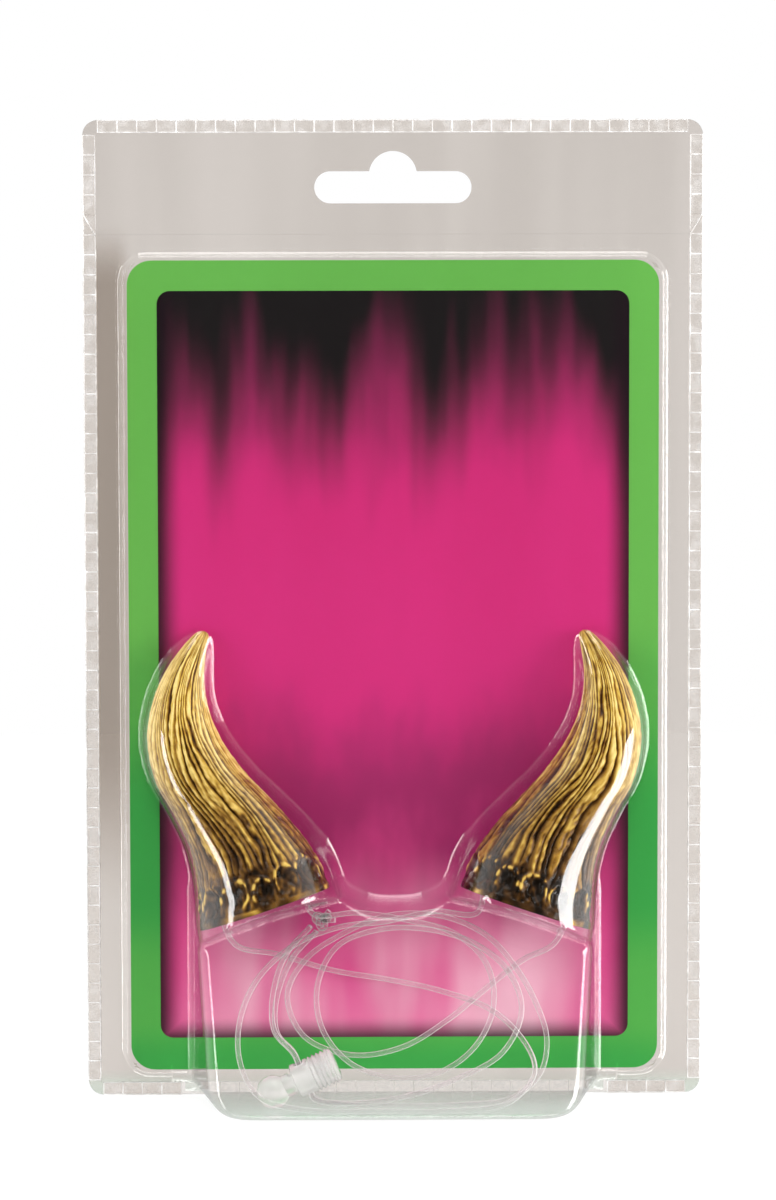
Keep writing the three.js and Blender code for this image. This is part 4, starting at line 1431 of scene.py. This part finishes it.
spring_route = []
for i in range(SPRING_STEPS + 1):
    share = i / SPRING_STEPS
    turn = share * SPRING_TURNS * 2 * math.pi
    along = mix(SPRING_START + SPRING_WIRE / 2, SPRING_END - SPRING_WIRE / 2, share)
    ring = Vector((SPRING_RADIUS * math.cos(turn), along, SPRING_RADIUS * math.sin(turn)))
    spring_route.append(LOCK_PLACE @ ring)
coil = thread("spring_coil", SPRING_WIRE, steps=3)
thread_spline(coil.data, spring_route)
bpy.context.view_layer.update()
evaluated_coil = coil.evaluated_get(bpy.context.evaluated_depsgraph_get())
spring_mesh = bpy.data.meshes.new_from_object(evaluated_coil)
spring_mesh.polygons.foreach_set("use_smooth", [True] * len(spring_mesh.polygons))
bpy.data.objects.remove(coil)
spring = bpy.data.objects.new("lock_spring_coil", spring_mesh)
scene.collection.objects.link(spring)
spring_mesh.materials.clear()
spring_mesh.materials.append(spring_finish())
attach(spring, "pack")
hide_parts("lock_spring")
PRESS = next(joint for joint in frame["joints"] if joint["name"] == "plunger_press")["axis"]
spring_stop = stood(LOCK_PLACE @ Vector((0, SPRING_END, 0)))
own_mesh(spring)
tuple(PRESS)
print("spring", len(spring_mesh.polygons), "faces")

# %% [markdown]
# The cord leaves the knot, and ends in the knot again, and the lock sits on it. Its first point
# is stood up here.

# %% The cord's first point
stood(CORD_ROUTE[0])

# %% [markdown]
# The pack stands on a pale floor that glows a little, so that it looks as white as the room, and
# the sheets don't mirror it.

# %% Floor
FLOOR_RADIUS, FLOOR_PLACE = 0.6, (0, 0.1, -0.0004)
FLOOR_CLOUD, FLOOR_GREYS, FLOOR_GLOW = 3.0, (0.18, 0.2), 0.86


def floor_finish():
    material, tree = new_finish("pale_floor")
    cloud = noise_on(tree, object_place(tree), FLOOR_CLOUD, 2.0)
    colour = ramp(tree, cloud, [(at, (g, g, g, 1)) for at, g in zip((0.3, 0.7), FLOOR_GREYS)])
    show(tree, surface(tree, {
        "Base Color": colour, "Roughness": 0.9, "Specular IOR Level": 0.0,
        "Emission Color": (1, 1, 1, 1), "Emission Strength": FLOOR_GLOW,
    }))
    return material


floor_bm = bmesh.new()
bmesh.ops.create_circle(floor_bm, cap_ends=True, segments=96, radius=FLOOR_RADIUS)
bmesh.ops.translate(floor_bm, verts=floor_bm.verts, vec=FLOOR_PLACE)
floor = passing_object("floor", floor_bm)
floor.data.materials.append(floor_finish())
floor.visible_glossy = False
print("floor", FLOOR_RADIUS, "m in radius")

# %% [markdown]
# The room is white as the camera sees it. As light, it is grey behind the pack and brighter at both
# sides. Straight ahead of the pack it is dark, so its flat front mirrors nothing and the print
# stays deep.

# %% World
ROOM, DARK_ROOM, RIGHT_WALL, LEFT_WALL, SEEN_ROOM = ((g, g, g, 1) for g in (0.7, 0.03, 1.5, 1.3, 1.0))
DARK_SPAN, WALL_SPAN = (-0.1, 0.7), (0.3, 0.95)

world = bpy.data.worlds.new("studio")
scene.world = world
world.use_nodes = True
sky = world.node_tree
sky.nodes.clear()
way = add_node(sky, "ShaderNodeTexCoord").outputs["Generated"]
ahead = math_node(sky, "MULTIPLY", axis_of(sky, way, "Y"), -1.0)
dark_front = smooth_step(sky, ahead, *DARK_SPAN)
behind = math_node(sky, "SUBTRACT", 1.0, dark_front)
room = blend_colours(sky, dark_front, ROOM, DARK_ROOM)
for side, wall in ((1, RIGHT_WALL), (-1, LEFT_WALL)):
    span = smooth_step(sky, axis_of(sky, way, "X"), *(side * end for end in WALL_SPAN))
    room = blend_colours(sky, math_node(sky, "MULTIPLY", span, behind), room, wall)
seen = add_node(sky, "ShaderNodeLightPath").outputs["Is Camera Ray"]
shown = blend_colours(sky, seen, room, SEEN_ROOM)
light = add_node(sky, "ShaderNodeBackground", {"Color": shown, "Strength": 1.0}).outputs[0]
add_node(sky, "ShaderNodeOutputWorld", {"Surface": light})
print("world", world.name)

# %% [markdown]
# Soft light: a box above, and a tall strip on each side, which draws the long white streaks on the
# horn pockets. A fill from the front isn't mirrored, and a box low under the front is only
# mirrored.

# %% Lights
LIGHT_AIM = (0, 0, 0.09)


def soft_box(name, place, width, height, power, aim=LIGHT_AIM):
    data = bpy.data.lights.new(name, "AREA")
    data.shape = "RECTANGLE"
    data.size, data.size_y = width, height
    data.energy = power
    box = bpy.data.objects.new(name, data)
    scene.collection.objects.link(box)
    box.location = place
    box.visible_camera = False
    box.rotation_euler = (Vector(aim) - Vector(place)).to_track_quat("-Z", "Y").to_euler()
    return box


soft_box("top_box", (0, -0.25, 1.2), 0.9, 0.5, 6)
soft_box("right_box", (0.945, -0.326, -0.06), 0.44, 1.03, 17, aim=(0, 0, -0.06))
soft_box("left_box", (-0.87, -0.5, 0.12), 0.15, 0.95, 4.5, aim=(0, 0, 0.12))
fill = soft_box("fill", (0, -1.3, 0.6), 0.8, 0.8, 8)
fill.visible_glossy = False
low_box = soft_box("low_box", (0, -0.42, -0.86), 1.2, 0.4, 10)
low_box.visible_diffuse = False
